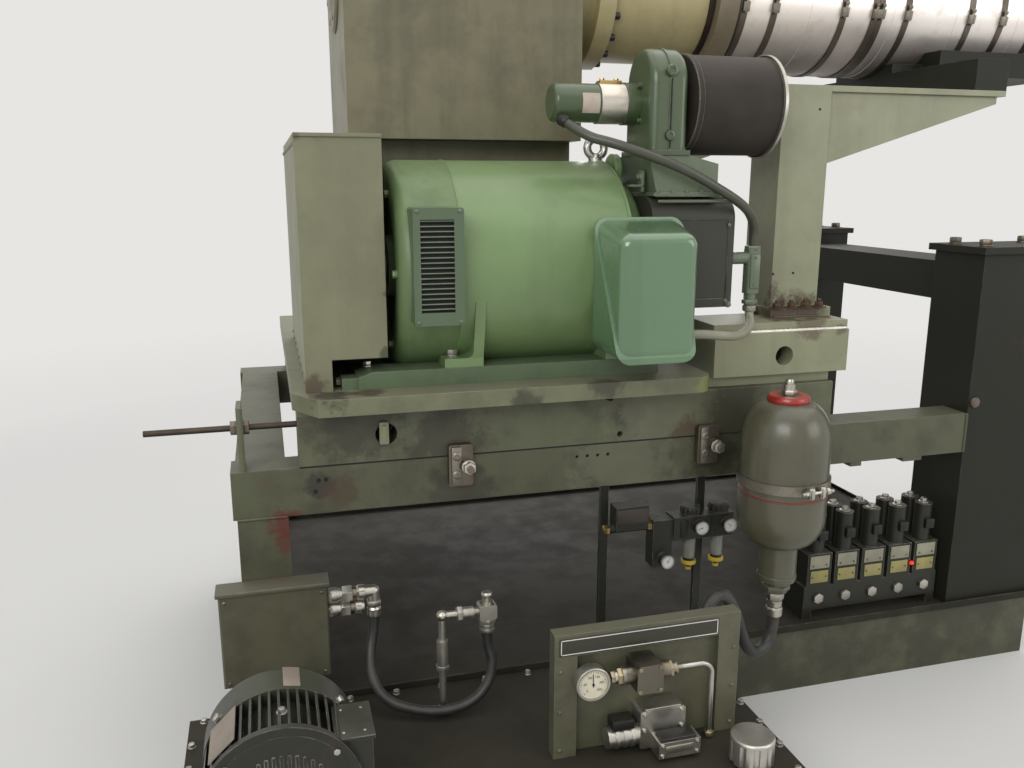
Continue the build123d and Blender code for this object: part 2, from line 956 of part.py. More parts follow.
def reducer_cover():
    top = axis_height + reducer_cover_height
    half = reducer_half_width
    case = block((reducer_left, reducer_right), (-half, half), (axis_height, top))
    case = fillet(case.edges().filter_by(Axis.X).group_by(Axis.Z)[-1], reducer_crown)
    margin = reducer_joint_margin
    joint = block((reducer_left, reducer_right), (-half - margin, half + margin), (axis_height, axis_height + reducer_joint))
    return case + joint


def feed_section():
    # adaptor and flange ring at the reducer, then the water-cooled feed throat
    body = rod_x(adaptor_radius, (reducer_right, ring_left), 0, axis_height)
    body += rod_x(ring_radius, (ring_left, feed_left), 0, axis_height)
    body += rod_x(feed_radius, (feed_left, feed_right), 0, axis_height)
    throat_middle = (feed_left + feed_right) / 2
    throat_top = axis_height + feed_radius + throat_height
    body += block(
        (throat_middle - throat_length / 2, throat_middle + throat_length / 2),
        (-throat_width / 2, throat_width / 2),
        (axis_height, throat_top),
    )
    margin = throat_flange_margin
    body += block(
        (throat_middle - throat_length / 2 - margin, throat_middle + throat_length / 2 + margin),
        (-throat_width / 2 - margin, throat_width / 2 + margin),
        (throat_top - throat_flange, throat_top),
    )
    body -= block(
        (throat_middle - throat_bore_length / 2, throat_middle + throat_bore_length / 2),
        (-throat_bore_width / 2, throat_bore_width / 2),
        (axis_height, throat_top + 1),
    )
    for side_x in (-1, 1):
        for side_y in (-1, 1):
            x = throat_middle + side_x * throat_bolt_length / 2
            y = side_y * throat_bolt_width / 2
            body -= rod_z(throat_hole_radius, x, y, (throat_top - throat_flange - 1, throat_top + 1))
    return body


def feed_groove():
    return rod_x(feed_radius - feed_groove_depth, (feed_right, barrel_flange_left), 0, axis_height)


def barrel_flange():
    flange = rod_x(barrel_flange_radius, (barrel_flange_left, barrel_flange_right), 0, axis_height)
    return flange + rod_x(band_radius, (barrel_flange_right, shroud_left), 0, axis_height)


def barrel_shroud():
    shroud = rod_x(shroud_radius, (shroud_left, shroud_end), 0, axis_height)
    return chamfer(shroud.edges().filter_by(GeomType.CIRCLE).sort_by(Axis.X)[-1], strap_thickness)


def shroud_straps():
    # worm-drive bands round the heater shroud, each with its screw housing in front
    straps = []
    for x in strap_places:
        place = (x - strap_width / 2, x + strap_width / 2)
        band = rod_x(shroud_radius + clearance + strap_thickness, place, 0, axis_height)
        band -= rod_x(shroud_radius + clearance, (place[0] - 1, place[1] + 1), 0, axis_height)
        turn = Pos(0, 0, axis_height) * Rot(-20, 0, 0) * Pos(0, -shroud_radius - strap_thickness - strap_screw_radius, 0)
        screw = turn * Pos(x, 0, 0) * Cylinder(strap_screw_radius, strap_screw_length)
        straps.append(band + screw)
    return straps


def barrel_end():
    # bare end of the barrel with the flange for the die head
    end = machine_end
    body = rod_x(barrel_radius, (shroud_end, end), 0, axis_height)
    body += rod_x(end_flange_radius, (end - end_flange_length, end), 0, axis_height)
    body -= rod_x(end_bore_radius, (end - end_bore_depth, end + 1), 0, axis_height)
    for number in range(end_bolt_count):
        angle = math.radians(360 / end_bolt_count * (number + 0.5))
        y = end_bolt_circle / 2 * math.cos(angle)
        z = axis_height + end_bolt_circle / 2 * math.sin(angle)
        body -= rod_x(end_bolt_radius, (end - end_flange_length - 1, end + 1), y, z)
    return body


def support_beam():
    right = beam_left + beam_length
    y = (front_face, front_face + beam_width)
    beam = block((beam_left, right), y, (beam_bottom, beam_top))
    level = (beam_bottom + beam_top) / 2 - beam_hole_drop
    beam -= rod_y(beam_hole_radius, beam_hole_x, (y[0] - 1, y[0] + beam_hole_depth), level)
    inset = beam_top_plate_inset
    beam += block((beam_left, right), (y[0] + inset, y[1] - inset), (beam_top, beam_top + beam_top_plate))
    pad_y = (y[0] + beam_pad_inset, front_face + rail_width)
    return beam + block((beam_left, carriage_right), pad_y, (carriage_top, beam_bottom))


def support_post():
    x = (post_left, post_left + post_width)
    y = (post_front, post_front + post_depth)
    margin = post_plate_margin
    top = arm_height - arm_thickness
    post = block(x, y, (post_foot, top))
    beam_back = front_face + beam_width - beam_top_plate_inset
    return post + block(
        (x[0] - margin / 2, beam_left + beam_length),
        (y[0] - margin, beam_back),
        (post_foot - post_plate_thickness, post_foot),
    )


def support_arm():
    # flange over the post with a web that tapers to the tip
    root = post_left + post_width
    top = arm_height - arm_thickness
    flange = block((post_left, arm_end), (post_front, post_front + post_depth), (top, arm_height))
    web = [
        (root, top),
        (arm_end - arm_web_tip, top),
        (arm_end - arm_web_tip, top - arm_web_tip),
        (root, top - arm_web_root),
    ]
    web_front = post_front + arm_web_setback
    return flange + plate_profile(web, (web_front, web_front + arm_web_thickness))


def barrel_cradle():
    # cross beam on both arms with a saddle under the shroud
    x = (arm_end - cradle_width, arm_end)
    reach = -post_front
    body = block(x, (-reach, reach), (arm_height, arm_height + cradle_height - shroud_clear()))
    body += block(x, (-saddle_width / 2, saddle_width / 2), (arm_height, saddle_top))
    return body - rod_x(shroud_radius + clearance, (x[0] - 1, x[1] + 1), 0, axis_height)


def shroud_clear():
    # what the cross beam leaves free under the shroud
    return max(0, arm_height + cradle_height - (axis_height - shroud_radius) + clearance)


def barrel_trough():
    x = (arm_end, arm_end + trough_length)
    body = block(x, (-trough_width / 2, trough_width / 2), (trough_bottom, trough_top))
    return body - rod_x(shroud_radius + strap_thickness + 2 * clearance, (x[0] - 1, x[1] + 1), 0, axis_height)


def oil_tank():
    x = (tank_left, tank_left + tank_length)
    y = (tank_front, tank_front + tank_depth)
    margin = tank_cover_margin
    tank = block(x, y, (0, tank_height))
    return tank + block((x[0] - margin, x[1] + margin), (y[0] - margin, y[1]), (tank_height, tank_top))


def manifold_panel():
    # plate in a frame of flat bar, standing on the tank
    x = (panel_left, panel_right)
    z = (tank_top, panel_top)
    panel = block(x, (panel_front, panel_back), z)
    window = block(
        (x[0] + panel_upright, x[1] - panel_upright),
        (panel_front - 1, panel_face),
        (z[0] - 1, z[1] - panel_upright),
    )
    return panel - window


def pressure_gauge():
    rim = rod_y(gauge_radius, gauge_x, (panel_front - gauge_depth, panel_front), gauge_height)
    rim = fillet(rim.edges().filter_by(GeomType.CIRCLE).sort_by(Axis.Y)[0], gauge_depth / 8)
    return rim + rod_y(gauge_stem_radius, gauge_x, (panel_front, panel_face), gauge_height)


def relief_valve():
    # block valve with stepped cartridges, and a drain pipe that bends down to the tank
    half = relief_valve_width / 2
    size = relief_valve_size
    reach = relief_valve_reach
    x = relief_valve_x
    y = panel_face - size / 2
    z = relief_valve_height
    body = block((x - half, x + half), (panel_face - size, panel_face), (z - size / 2, z + size / 2))
    body = chamfer(body.edges().filter_by(Axis.Y), size / 12)
    body += rod_x(size * 0.3, (x - half - reach * 0.6, x + half + reach * 0.6), y, z)
    body += rod_x(size * 0.2, (x - half - reach, x + half + reach), y, z)
    start = x + half + reach
    points = [(start - drain_pipe_radius, y, z), (drain_pipe_x, y, z), (drain_pipe_x, y, tank_top)]
    path = FilletPolyline(*points, radius=drain_pipe_bend)
    section = Plane(origin=path @ 0, z_dir=path % 0) * Circle(drain_pipe_radius)
    return body + sweep(section, path=path)


def directional_valve():
    # sub-base on the panel with a lower nose in front, and its solenoid to the left
    left = directional_valve_left
    right = left + directional_valve_width
    low = directional_valve_bottom
    face = panel_face - directional_valve_depth
    body = block((left, right), (face, panel_face), (low, low + directional_valve_height))
    body = chamfer(body.edges().filter_by(Axis.Y), 5)
    nose_x = (left + directional_nose_offset, left + directional_nose_offset + directional_nose_width)
    body += block(nose_x, (face - directional_nose_depth, face), (low, low + directional_nose_height))
    y = face + directional_valve_depth * 0.4
    z = low + coil_radius + 6
    coil = rod_x(coil_radius, (left - coil_length, left), y, z)
    for place in (0.15, 0.4, 0.65):
        x = left - coil_length * place
        coil += rod_x(coil_radius + 3, (x - coil_ring_length, x), y, z)
    return body + coil


def breather():
    base = tank_top + breather_stand
    cap = rod_z(breather_radius, breather_x, breather_y, (base, base + breather_height))
    cap = fillet(cap.edges().filter_by(GeomType.CIRCLE).sort_by(Axis.Z)[-1], breather_height / 12)
    for number in range(breather_flutes):
        angle = math.radians(360 / breather_flutes * number)
        x = breather_x + (breather_radius + breather_flute_radius * 0.55) * math.cos(angle)
        y = breather_y + (breather_radius + breather_flute_radius * 0.55) * math.sin(angle)
        cap -= rod_z(breather_flute_radius, x, y, (base - 1, base + breather_height * 0.86))
    return cap + rod_z(breather_neck, breather_x, breather_y, (tank_top, base))


def pump_motor():
    # motor with upright fins along its axis, between an end plate and a plain shoulder
    fins_y = (pump_motor_front + end_plate_thickness, pump_motor_front + end_plate_thickness + fin_length)
    shoulder_y = (fins_y[1], fins_y[1] + shoulder_length)
    radius = pump_motor_radius
    fins = []
    for number in range(-fins_each_side, fins_each_side + 1):
        x = pump_motor_x + number * fin_pitch
        half = fin_thickness / 2
        fins.append(block((x - half, x + half), fins_y, (pump_motor_height - radius, pump_motor_height + radius)))
    envelope = rod_y(radius - 2, pump_motor_x, fins_y, pump_motor_height)
    motor = Part() + fins
    motor = motor & envelope
    motor += rod_y(pump_motor_core, pump_motor_x, fins_y, pump_motor_height)
    shoulder = rod_y(radius, pump_motor_x, shoulder_y, pump_motor_height)
    shoulder = fillet(shoulder.edges().filter_by(GeomType.CIRCLE).sort_by(Axis.Y)[-1], shoulder_round)
    plate = rod_y(radius - 2, pump_motor_x, (pump_motor_front, fins_y[0]), pump_motor_height)
    box_y = (fins_y[0], fins_y[0] + motor_box_depth)
    return motor + shoulder + plate + block(motor_box_x, box_y, motor_box_z)


def pump_stand():
    start = pump_motor_front + end_plate_thickness + pump_foot_width / 2
    end = start + fin_length + shoulder_length - pump_foot_width
    half = pump_foot_length / 2
    z = (tank_top, pump_motor_height - pump_motor_core * 0.6)
    return block((pump_motor_x - half, pump_motor_x + half), (start, end), z)


def hydraulic_pump():
    start = pump_motor_front + end_plate_thickness + fin_length + shoulder_length
    bell = rod_y(bell_radius, pump_motor_x, (start, start + bell_length), pump_motor_height)
    return bell + rod_y(pump_radius, pump_motor_x, (start + bell_length, start + bell_length + pump_length), pump_motor_height)


def tank_standpipe():
    # pipe up from the tank with a branch to a small stop valve over the loop hose's end
    x = standpipe_x
    y = standpipe_y
    z = standpipe_branch_height
    pipe = rod_z(standpipe_radius, x, y, (tank_top, z)) + Pos(x, y, z) * Sphere(standpipe_radius * 1.5)
    pipe += rod_z(standpipe_sleeve_radius, x, y, standpipe_sleeve)
    half = stop_valve_width / 2
    left = stop_valve_x - half
    pipe += rod_x(standpipe_radius, (x, left), y, z)
    pipe += rod_x(standpipe_sleeve_radius, (left - 40, left - 12), y, z)
    tall = stop_valve_height / 2
    valve = block((left, left + stop_valve_width), (y - tall, y + tall), (z - tall, z + tall))
    valve = chamfer(valve.edges().filter_by(Axis.Y), 5)
    valve += rod_z(stop_valve_neck_radius, stop_valve_x, y, (z - tall - stop_valve_neck, z - tall))
    return pipe + valve + rod_z(stop_valve_knob_radius, stop_valve_x, y, (z + tall, z + tall + stop_valve_knob))


def accumulator():
    # bladder shell: straight body between a rounded crown and foot, with port and coupling below
    radius = accumulator_radius
    profile = Polyline((0, accumulator_bottom), (accumulator_neck_radius, accumulator_bottom))
    foot = EllipticalCenterArc(
        (accumulator_neck_radius, accumulator_bottom + accumulator_foot_height),
        radius - accumulator_neck_radius,
        accumulator_foot_height,
        start_angle=-90,
        arc_size=90,
    )
    crown_start = accumulator_top - accumulator_crown
    side = Line((radius, accumulator_bottom + accumulator_foot_height), (radius, crown_start))
    crown = EllipticalCenterArc(
        (gas_cap_radius, crown_start),
        radius - gas_cap_radius,
        accumulator_crown,
        start_angle=0,
        arc_size=90,
    )
    close = Polyline((gas_cap_radius, accumulator_top), (0, accumulator_top), (0, accumulator_bottom))
    outline = Wire([profile.edges()[0], foot.edges()[0], side.edges()[0], crown.edges()[0], *close.edges()])
    section = Plane.XZ * make_face(outline)
    shell = Pos(accumulator_x, accumulator_y, 0) * revolve(section, axis=Axis.Z)
    neck_end = accumulator_bottom - accumulator_neck_length
    port_end = neck_end - accumulator_port_length
    shell += rod_z(accumulator_neck_radius, accumulator_x, accumulator_y, (neck_end, accumulator_bottom))
    return shell + rod_z(accumulator_port_radius, accumulator_x, accumulator_y, (port_end, neck_end))


def accumulator_coupling():
    top = accumulator_bottom - accumulator_neck_length - accumulator_port_length
    return rod_z(hose_coupling_radius, accumulator_x, accumulator_y, (top - hose_coupling_length, top))


def accumulator_cap():
    top = accumulator_top + gas_cap_height
    cap = rod_z(gas_cap_radius, accumulator_x, accumulator_y, (accumulator_top, top))
    cap = chamfer(cap.edges().filter_by(GeomType.CIRCLE).sort_by(Axis.Z)[-1], gas_cap_height / 3)
    return cap + rod_z(gas_stem_radius, accumulator_x, accumulator_y, (top, top + gas_stem_height))


def accumulator_clamp():
    half = clamp_band_height / 2
    z = (clamp_level - half, clamp_level + half)
    inner = accumulator_radius + clearance
    outer = inner + clamp_band_thickness
    arm = block((accumulator_x - clamp_arm_width / 2, accumulator_x + clamp_arm_width / 2), (accumulator_y, front_face), z)
    band = rod_z(outer, accumulator_x, accumulator_y, z)
    return band + arm - rod_z(inner, accumulator_x, accumulator_y, (z[0] - 1, z[1] + 1))


def junction_box():
    x = (junction_left, junction_left + junction_width)
    box = block(x, (front_face - junction_depth, front_face), (junction_bottom, junction_top))
    return chamfer(box.faces().sort_by(Axis.Y)[0].edges(), 4)


def coupling_level(number):
    return junction_top - coupling_from_top - number * coupling_pitch


def junction_couplings():
    # two rows of hose couplings, the upper one with an elbow that points down
    left = junction_left + junction_width
    y = front_face - junction_depth / 2
    couplings = []
    for number, length in enumerate((lower_coupling_length, coupling_length)):
        z = coupling_level(1 - number)
        coupling = rod_x(coupling_radius, (left, left + length), y, z)
        for place in (0.15, 0.5, 0.85):
            x = left + length * place
            coupling += rod_x(coupling_radius * 1.25, (x - coupling_radius / 2, x + coupling_radius / 2), y, z)
        couplings.append(coupling)
    x = left + coupling_length + coupling_radius
    elbow = rod_x(coupling_radius, (left + coupling_length, x), y, z)
    elbow += Pos(x, y, z) * Sphere(coupling_radius)
    elbow += rod_z(coupling_radius, x, y, (z - elbow_drop, z))
    couplings[-1] += elbow
    return couplings


def strut(x):
    half = strut_width / 2
    return block((x - half, x + half), (strut_y - half / 2, strut_y + half / 2), (tray_top, rail_bottom))


def air_unit():
    # two regulators in a row on their strut, with domes above, bowls below and gauges in front
    y = (strut_y - strut_width / 4 - air_unit_depth, strut_y - strut_width / 4)
    z = (air_unit_bottom, air_unit_bottom + air_unit_height)
    right = air_unit_left + air_unit_length
    unit = block((air_unit_left, right), y, z)
    middle = sum(y) / 2
    for from_left in air_bowl_from_left:
        x = air_unit_left + from_left
        low = z[0] - air_bowl_length
        unit += rod_z(air_bowl_radius, x, middle, (low, z[0]))
        unit += rod_z(air_ring_radius, x, middle, (low, low + air_ring_height))
        unit += rod_z(air_nipple_radius, x, middle, (low - air_nipple_length, low))
        unit += rod_z(air_dome_radius, x, middle, (z[1], z[1] + air_dome_height))
    low_x = (air_unit_left - low_regulator_width, air_unit_left)
    unit += block(low_x, (y[0] + air_gauge_depth / 2, y[1]), (low_regulator_top - low_regulator_drop, low_regulator_top))
    for x, level in air_gauge_places:
        unit += rod_y(air_gauge_radius, x, (y[0] - air_gauge_depth, y[0] + air_gauge_depth), level)
    pipe = (brass_valve_left, low_x[0])
    unit += rod_x(brass_valve_radius, pipe, middle, brass_valve_level)
    solenoid_x = (solenoid_left, solenoid_left + solenoid_width)
    solenoid_z = (brass_valve_level, brass_valve_level + brass_valve_radius + solenoid_height)
    half = solenoid_depth / 2
    return unit + block(solenoid_x, (middle - half, middle + half), solenoid_z)


def valve_bank():
    # manifold on two feet with a row of solenoid valves
    x = (valve_bank_left, valve_bank_left + valve_bank_length)
    y = (valve_bank_front, valve_bank_front + valve_bank_width)
    low = tray_top + valve_bank_foot
    body_low = low + valve_bank_height
    body_top = body_low + valve_body_height
    bank = block(x, y, (low, body_low))
    for foot_x in (x[0], x[1] - valve_bank_foot):
        bank += block((foot_x, foot_x + valve_bank_foot), y, (tray_top, low))
    pitch = valve_bank_length / valve_count
    for number in range(valve_count):
        middle = x[0] + pitch * (number + 0.5)
        half = valve_body_width / 2
        bank += block((middle - half, middle + half), y, (body_low, body_top))
        for side in (-1, 1):
            coil_y = sum(y) / 2 + side * valve_bank_width / 4
            bank += rod_z(valve_coil_radius, middle, coil_y, (body_top, body_top + valve_coil_height))
    return bank


def hose(name, points, diameter):
    # straight runs joined by tangent arcs as large as the runs allow
    vectors = [Vector(*point) for point in points]
    runs = [b - a for a, b in zip(vectors, vectors[1:])]
    radii = []
    for before, after in zip(runs, runs[1:]):
        turn = math.radians(before.get_angle(after))
        radii.append(0.45 * min(before.length, after.length) / math.tan(turn / 2))
    path = FilletPolyline(*points, radius=radii)
    section = Plane(origin=path @ 0, z_dir=path % 0) * Circle(diameter / 2)
    tube = sweep(section, path=path)
    ratio = tube.volume / (math.pi * diameter ** 2 / 4 * path.length)
    rounded = [round(radius / diameter, 1) for radius in radii]
    print(name, "length", round(path.length), "volume ratio", round(ratio, 4), "radii in diameters", rounded)
    return tube


coupling_end = accumulator_bottom - accumulator_neck_length - accumulator_port_length - hose_coupling_length
accumulator_hose_points = [
    (accumulator_x, accumulator_y, coupling_end),
    (accumulator_x, accumulator_y, coupling_end - 42),
    (accumulator_x - 22, accumulator_y - 10, coupling_end - 88),
    (accumulator_x - 76, accumulator_y - 28, coupling_end - 96),
    (accumulator_x - 122, accumulator_y - 52, coupling_end - 30),
    (accumulator_x - 160, accumulator_y - 76, coupling_end + 60),
    (accumulator_x - 212, accumulator_y - 100, coupling_end + 142),
    (accumulator_x - 268, accumulator_y - 120, coupling_end + 128),
    (accumulator_x - 290, accumulator_y - 138, coupling_end + 72),
    (accumulator_x - 288, panel_back + 26, coupling_end + 40),
    (accumulator_x - 288, panel_back, coupling_end + 40),
]

elbow_x = junction_left + junction_width + coupling_length + coupling_radius
elbow_y = front_face - junction_depth / 2
stop_valve_end = standpipe_branch_height - stop_valve_height / 2 - stop_valve_neck
elbow_end = coupling_level(0) - elbow_drop
loop_hose_points = [
    (elbow_x, elbow_y, elbow_end),
    (elbow_x - 3, elbow_y - 3, elbow_end - 42),
    (elbow_x - 17, elbow_y - 22, elbow_end - 92),
    (elbow_x - 19, elbow_y - 66, elbow_end - 142),
    (elbow_x + 8, elbow_y - 110, elbow_end - 180),
    (elbow_x + 70, elbow_y - 142, elbow_end - 196),
    (elbow_x + 146, elbow_y - 160, elbow_end - 202),
    (elbow_x + 218, elbow_y - 160, elbow_end - 188),
    (elbow_x + 262, elbow_y - 152, elbow_end - 146),
    (elbow_x + 274, elbow_y - 140, elbow_end - 90),
    (stop_valve_x, standpipe_y, stop_valve_end - 42),
    (stop_valve_x, standpipe_y, stop_valve_end),
]

conduit_x = plenum_right + conduit_hub_length + conduit_box_width / 2
conduit_top = conduit_box_bottom + conduit_box_height
blower_cable_points = [
    (blower_left - 201, blower_y - blower_motor_radius * 0.8, blower_axis_height - blower_motor_radius * 0.95),
    (blower_left - 163, blower_y - 86, blower_axis_height - 84),
    (blower_left - 103, blower_y - 118, blower_axis_height - 100),
    (blower_left - 29, blower_y - 146, blower_axis_height - 126),
    (blower_left + 61, blower_y - 158, blower_axis_height - 158),
    (blower_left + 145, blower_y - 152, blower_axis_height - 196),
    (conduit_x - 68, conduit_box_y - 62, conduit_top + 116),
    (conduit_x - 18, conduit_box_y - 26, conduit_top + 76),
    (conduit_x, conduit_box_y, conduit_top + 34),
    (conduit_x, conduit_box_y, conduit_top),
]

fitting_end = conduit_box_bottom - conduit_fitting_length
terminal_right = terminal_box_right + terminal_box_flare_right / 2 + 2.5
terminal_middle_y = (terminal_box_front + terminal_box_back) / 2
flexible_conduit_points = [
    (conduit_x, conduit_box_y, fitting_end),
    (conduit_x, conduit_box_y, fitting_end - 24),
    (conduit_x - 12, conduit_box_y - 34, fitting_end - 44),
    (conduit_x - 54, conduit_box_y - 82, fitting_end - 58),
    (conduit_x - 112, conduit_box_y - 134, fitting_end - 58),
    (conduit_x - 176, conduit_box_y - 172, fitting_end - 46),
    (conduit_x - 222, terminal_middle_y, fitting_end - 42),
    (terminal_right, terminal_middle_y, fitting_end - 42),
]

cords = {
    "accumulator_hose": hose("accumulator_hose", accumulator_hose_points, accumulator_hose_diameter),
    "loop_hose": hose("loop_hose", loop_hose_points, loop_hose_diameter),
    "blower_cable": hose("blower_cable", blower_cable_points, blower_cable_diameter),
    "flexible_conduit": hose("flexible_conduit", flexible_conduit_points, flexible_conduit_diameter),
}

parts = {
    "skid_beam_front": skid_beam(),
    "skid_beam_back": mirrored(skid_beam()),
    "skid_cross_left": skid_cross((0, skid_width)),
    "skid_cross_right": skid_cross((frame_length - skid_width, frame_length)),
    "base_tray": base_tray(),
    "leg_front": left_leg(),
    "leg_back": mirrored(left_leg()),
    "rail_front": front_rail(),
    "rail_back": mirrored(rail()),
    "rail_cross": rail_cross((leg_inset, leg_inset + leg_width)),
    "column_front": column(),
    "column_back": mirrored(column()),
    "column_tie": column_tie(),
    "carriage_beam_front": front_carriage_beam(),
    "carriage_beam_back": mirrored(plain_carriage_beam()),
    "carriage_cross": carriage_cross((carriage_right - carriage_cross_width, carriage_right)),
    "base_plate": base_plate(),
    "jack_bracket": jack_bracket(),
    "jack_screw": jack_screw(),
    "clamp_block_left": clamp_block(clamp_block_places[0]),
    "clamp_block_right": clamp_block(clamp_block_places[1]),
    "motor_rails": [motor_rail(-1), motor_rail(1)],
    "motor_frame": motor_frame() + motor_commutator_end(),
    "motor_drive_end": motor_drive_end() + motor_shaft(),
    "louvre_cover": louvre_cover(),
    "lifting_eye": lifting_eye(),
    "terminal_box": terminal_box(),
    "blower_plenum": blower_plenum(),
    "blower_adapter": blower_adapter(),
    "blower_scroll": blower_scroll(),
    "blower_motor": blower_motor() + blower_motor_ring(),
    "blower_filter": blower_filter() + filter_cap(),
    "conduit_box": conduit_box(),
    "belt_guard": belt_guard(),
    "reducer_pedestal": reducer_pedestal(),
    "reducer_housing": reducer_housing() + input_shaft(),
    "reducer_cover": reducer_cover(),
    "feed_section": feed_section() + feed_groove(),
    "barrel_flange": barrel_flange(),
    "barrel_shroud": barrel_shroud(),
    "shroud_straps": shroud_straps(),
    "barrel_end": barrel_end(),
    "support_front": support_beam() + support_post() + support_arm(),
    "support_back": mirrored(support_beam() + support_post() + support_arm()),
    "barrel_cradle": barrel_cradle() + barrel_trough(),
    "oil_tank": oil_tank(),
    "manifold_panel": manifold_panel(),
    "panel_fittings": [
        pressure_gauge(),
        relief_valve(),
        directional_valve(),
        breather(),
    ],
    "tank_standpipe": tank_standpipe(),
    "pump_motor": pump_motor() + pump_stand() + hydraulic_pump(),
    "accumulator": accumulator(),
    "accumulator_fittings": [accumulator_coupling(), accumulator_cap(), accumulator_clamp()],
    "junction_box": junction_box(),
    "junction_couplings": junction_couplings(),
    "air_unit": [strut(strut_places[0]), strut(strut_places[1]) + air_unit()],
    "valve_bank": valve_bank(),
}


def gathered(shape):
    return Compound(children=[*shape]) if isinstance(shape, list) else shape


# The origin is the bottom centre of everything but the hoses and cables
parts = {name: gathered(shape) for name, shape in parts.items()}
boxes = [shape.bounding_box() for shape in parts.values()]
middle_x = (min(box.min.X for box in boxes) + max(box.max.X for box in boxes)) / 2
middle_y = (min(box.min.Y for box in boxes) + max(box.max.Y for box in boxes)) / 2
print("layout origin moved by", round(-middle_x, 2), round(-middle_y, 2))

os.makedirs("parts", exist_ok=True)
for name, shape in {**parts, **cords}.items():
    export_step(Pos(-middle_x, -middle_y, 0) * shape, f"parts/{name}.step")
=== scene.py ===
import math
import random
from itertools import product

import bmesh
import bpy
from mathutils import Matrix, Vector


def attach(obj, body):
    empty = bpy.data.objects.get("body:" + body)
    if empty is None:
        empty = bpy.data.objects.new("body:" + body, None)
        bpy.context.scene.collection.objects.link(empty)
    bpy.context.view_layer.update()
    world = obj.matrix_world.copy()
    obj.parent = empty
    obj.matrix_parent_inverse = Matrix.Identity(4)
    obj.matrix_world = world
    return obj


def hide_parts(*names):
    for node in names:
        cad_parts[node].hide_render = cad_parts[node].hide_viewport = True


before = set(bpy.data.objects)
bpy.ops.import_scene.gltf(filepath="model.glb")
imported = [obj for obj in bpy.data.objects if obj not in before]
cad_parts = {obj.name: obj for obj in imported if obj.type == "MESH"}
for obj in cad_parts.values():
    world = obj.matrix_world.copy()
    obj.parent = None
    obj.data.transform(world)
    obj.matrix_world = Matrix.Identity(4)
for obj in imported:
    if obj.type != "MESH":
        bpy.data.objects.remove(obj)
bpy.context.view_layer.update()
print("frame loaded,", len(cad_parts), "nodes")

# Places are written in millimetres from the left end of the machine's frame (x), the
# extruder's axis (y) and the floor (z), and moved to the shared frame here.
layout = {"left": -1411.0, "back": 294.5}
front = (0, -1, 0)
back = (0, 1, 0)
up = (0, 0, 1)
down = (0, 0, -1)
left = (-1, 0, 0)
right = (1, 0, 0)
# what is alike in front of the extruder's axis and behind it
sides = (-1, 1)


def spot(x, y, z):
    return Vector(((x + layout["left"]) / 1000, (y + layout["back"]) / 1000, z / 1000))


def mm(value):
    return value / 1000


# shader arithmetic
def connect(tree, value, socket):
    # links a wire to a socket, or sets the socket to a plain value
    if isinstance(value, Wire):
        tree.links.new(value.socket, socket)
    elif value is not None:
        socket.default_value = value


def addNode(tree, kind, settings=None, sockets=None, output=0):
    node = tree.nodes.new(kind)
    for key, value in (settings or {}).items():
        setattr(node, key, value)
    for key, value in (sockets or {}).items():
        connect(tree, value, node.inputs[key])
    return Wire(tree, node.outputs[output])


class Wire:
    def __init__(self, tree, socket):
        self.tree = tree
        self.socket = socket

    def math(self, operation, first, second, clamp=False):
        settings = {"operation": operation, "use_clamp": clamp}
        return addNode(self.tree, "ShaderNodeMath", settings, {0: first, 1: second})

    def __add__(self, other):
        return self.math("ADD", self, other)

    def __radd__(self, other):
        return self.math("ADD", other, self)

    def __sub__(self, other):
        return self.math("SUBTRACT", self, other)

    def __rsub__(self, other):
        return self.math("SUBTRACT", other, self)

    def __mul__(self, other):
        return self.math("MULTIPLY", self, other)

    def __rmul__(self, other):
        return self.math("MULTIPLY", other, self)

    def __truediv__(self, other):
        return self.math("DIVIDE", self, other)

    def __rtruediv__(self, other):
        return self.math("DIVIDE", other, self)

    def clamped(self):
        return self.math("ADD", self, 0.0, clamp=True)

    def above(self, level, softness):
        # 0 below the level, 1 above it, with a soft step
        return ((self - level) / softness + 0.5).clamped()

    def below(self, level, softness):
        return 1 - self.above(level, softness)


def opaque(value):
    # a colour with its alpha, anything else as it is
    return (*value, 1.0) if isinstance(value, tuple) else value


def shade(color, factor):
    return tuple(min(1.0, part * factor) for part in color)


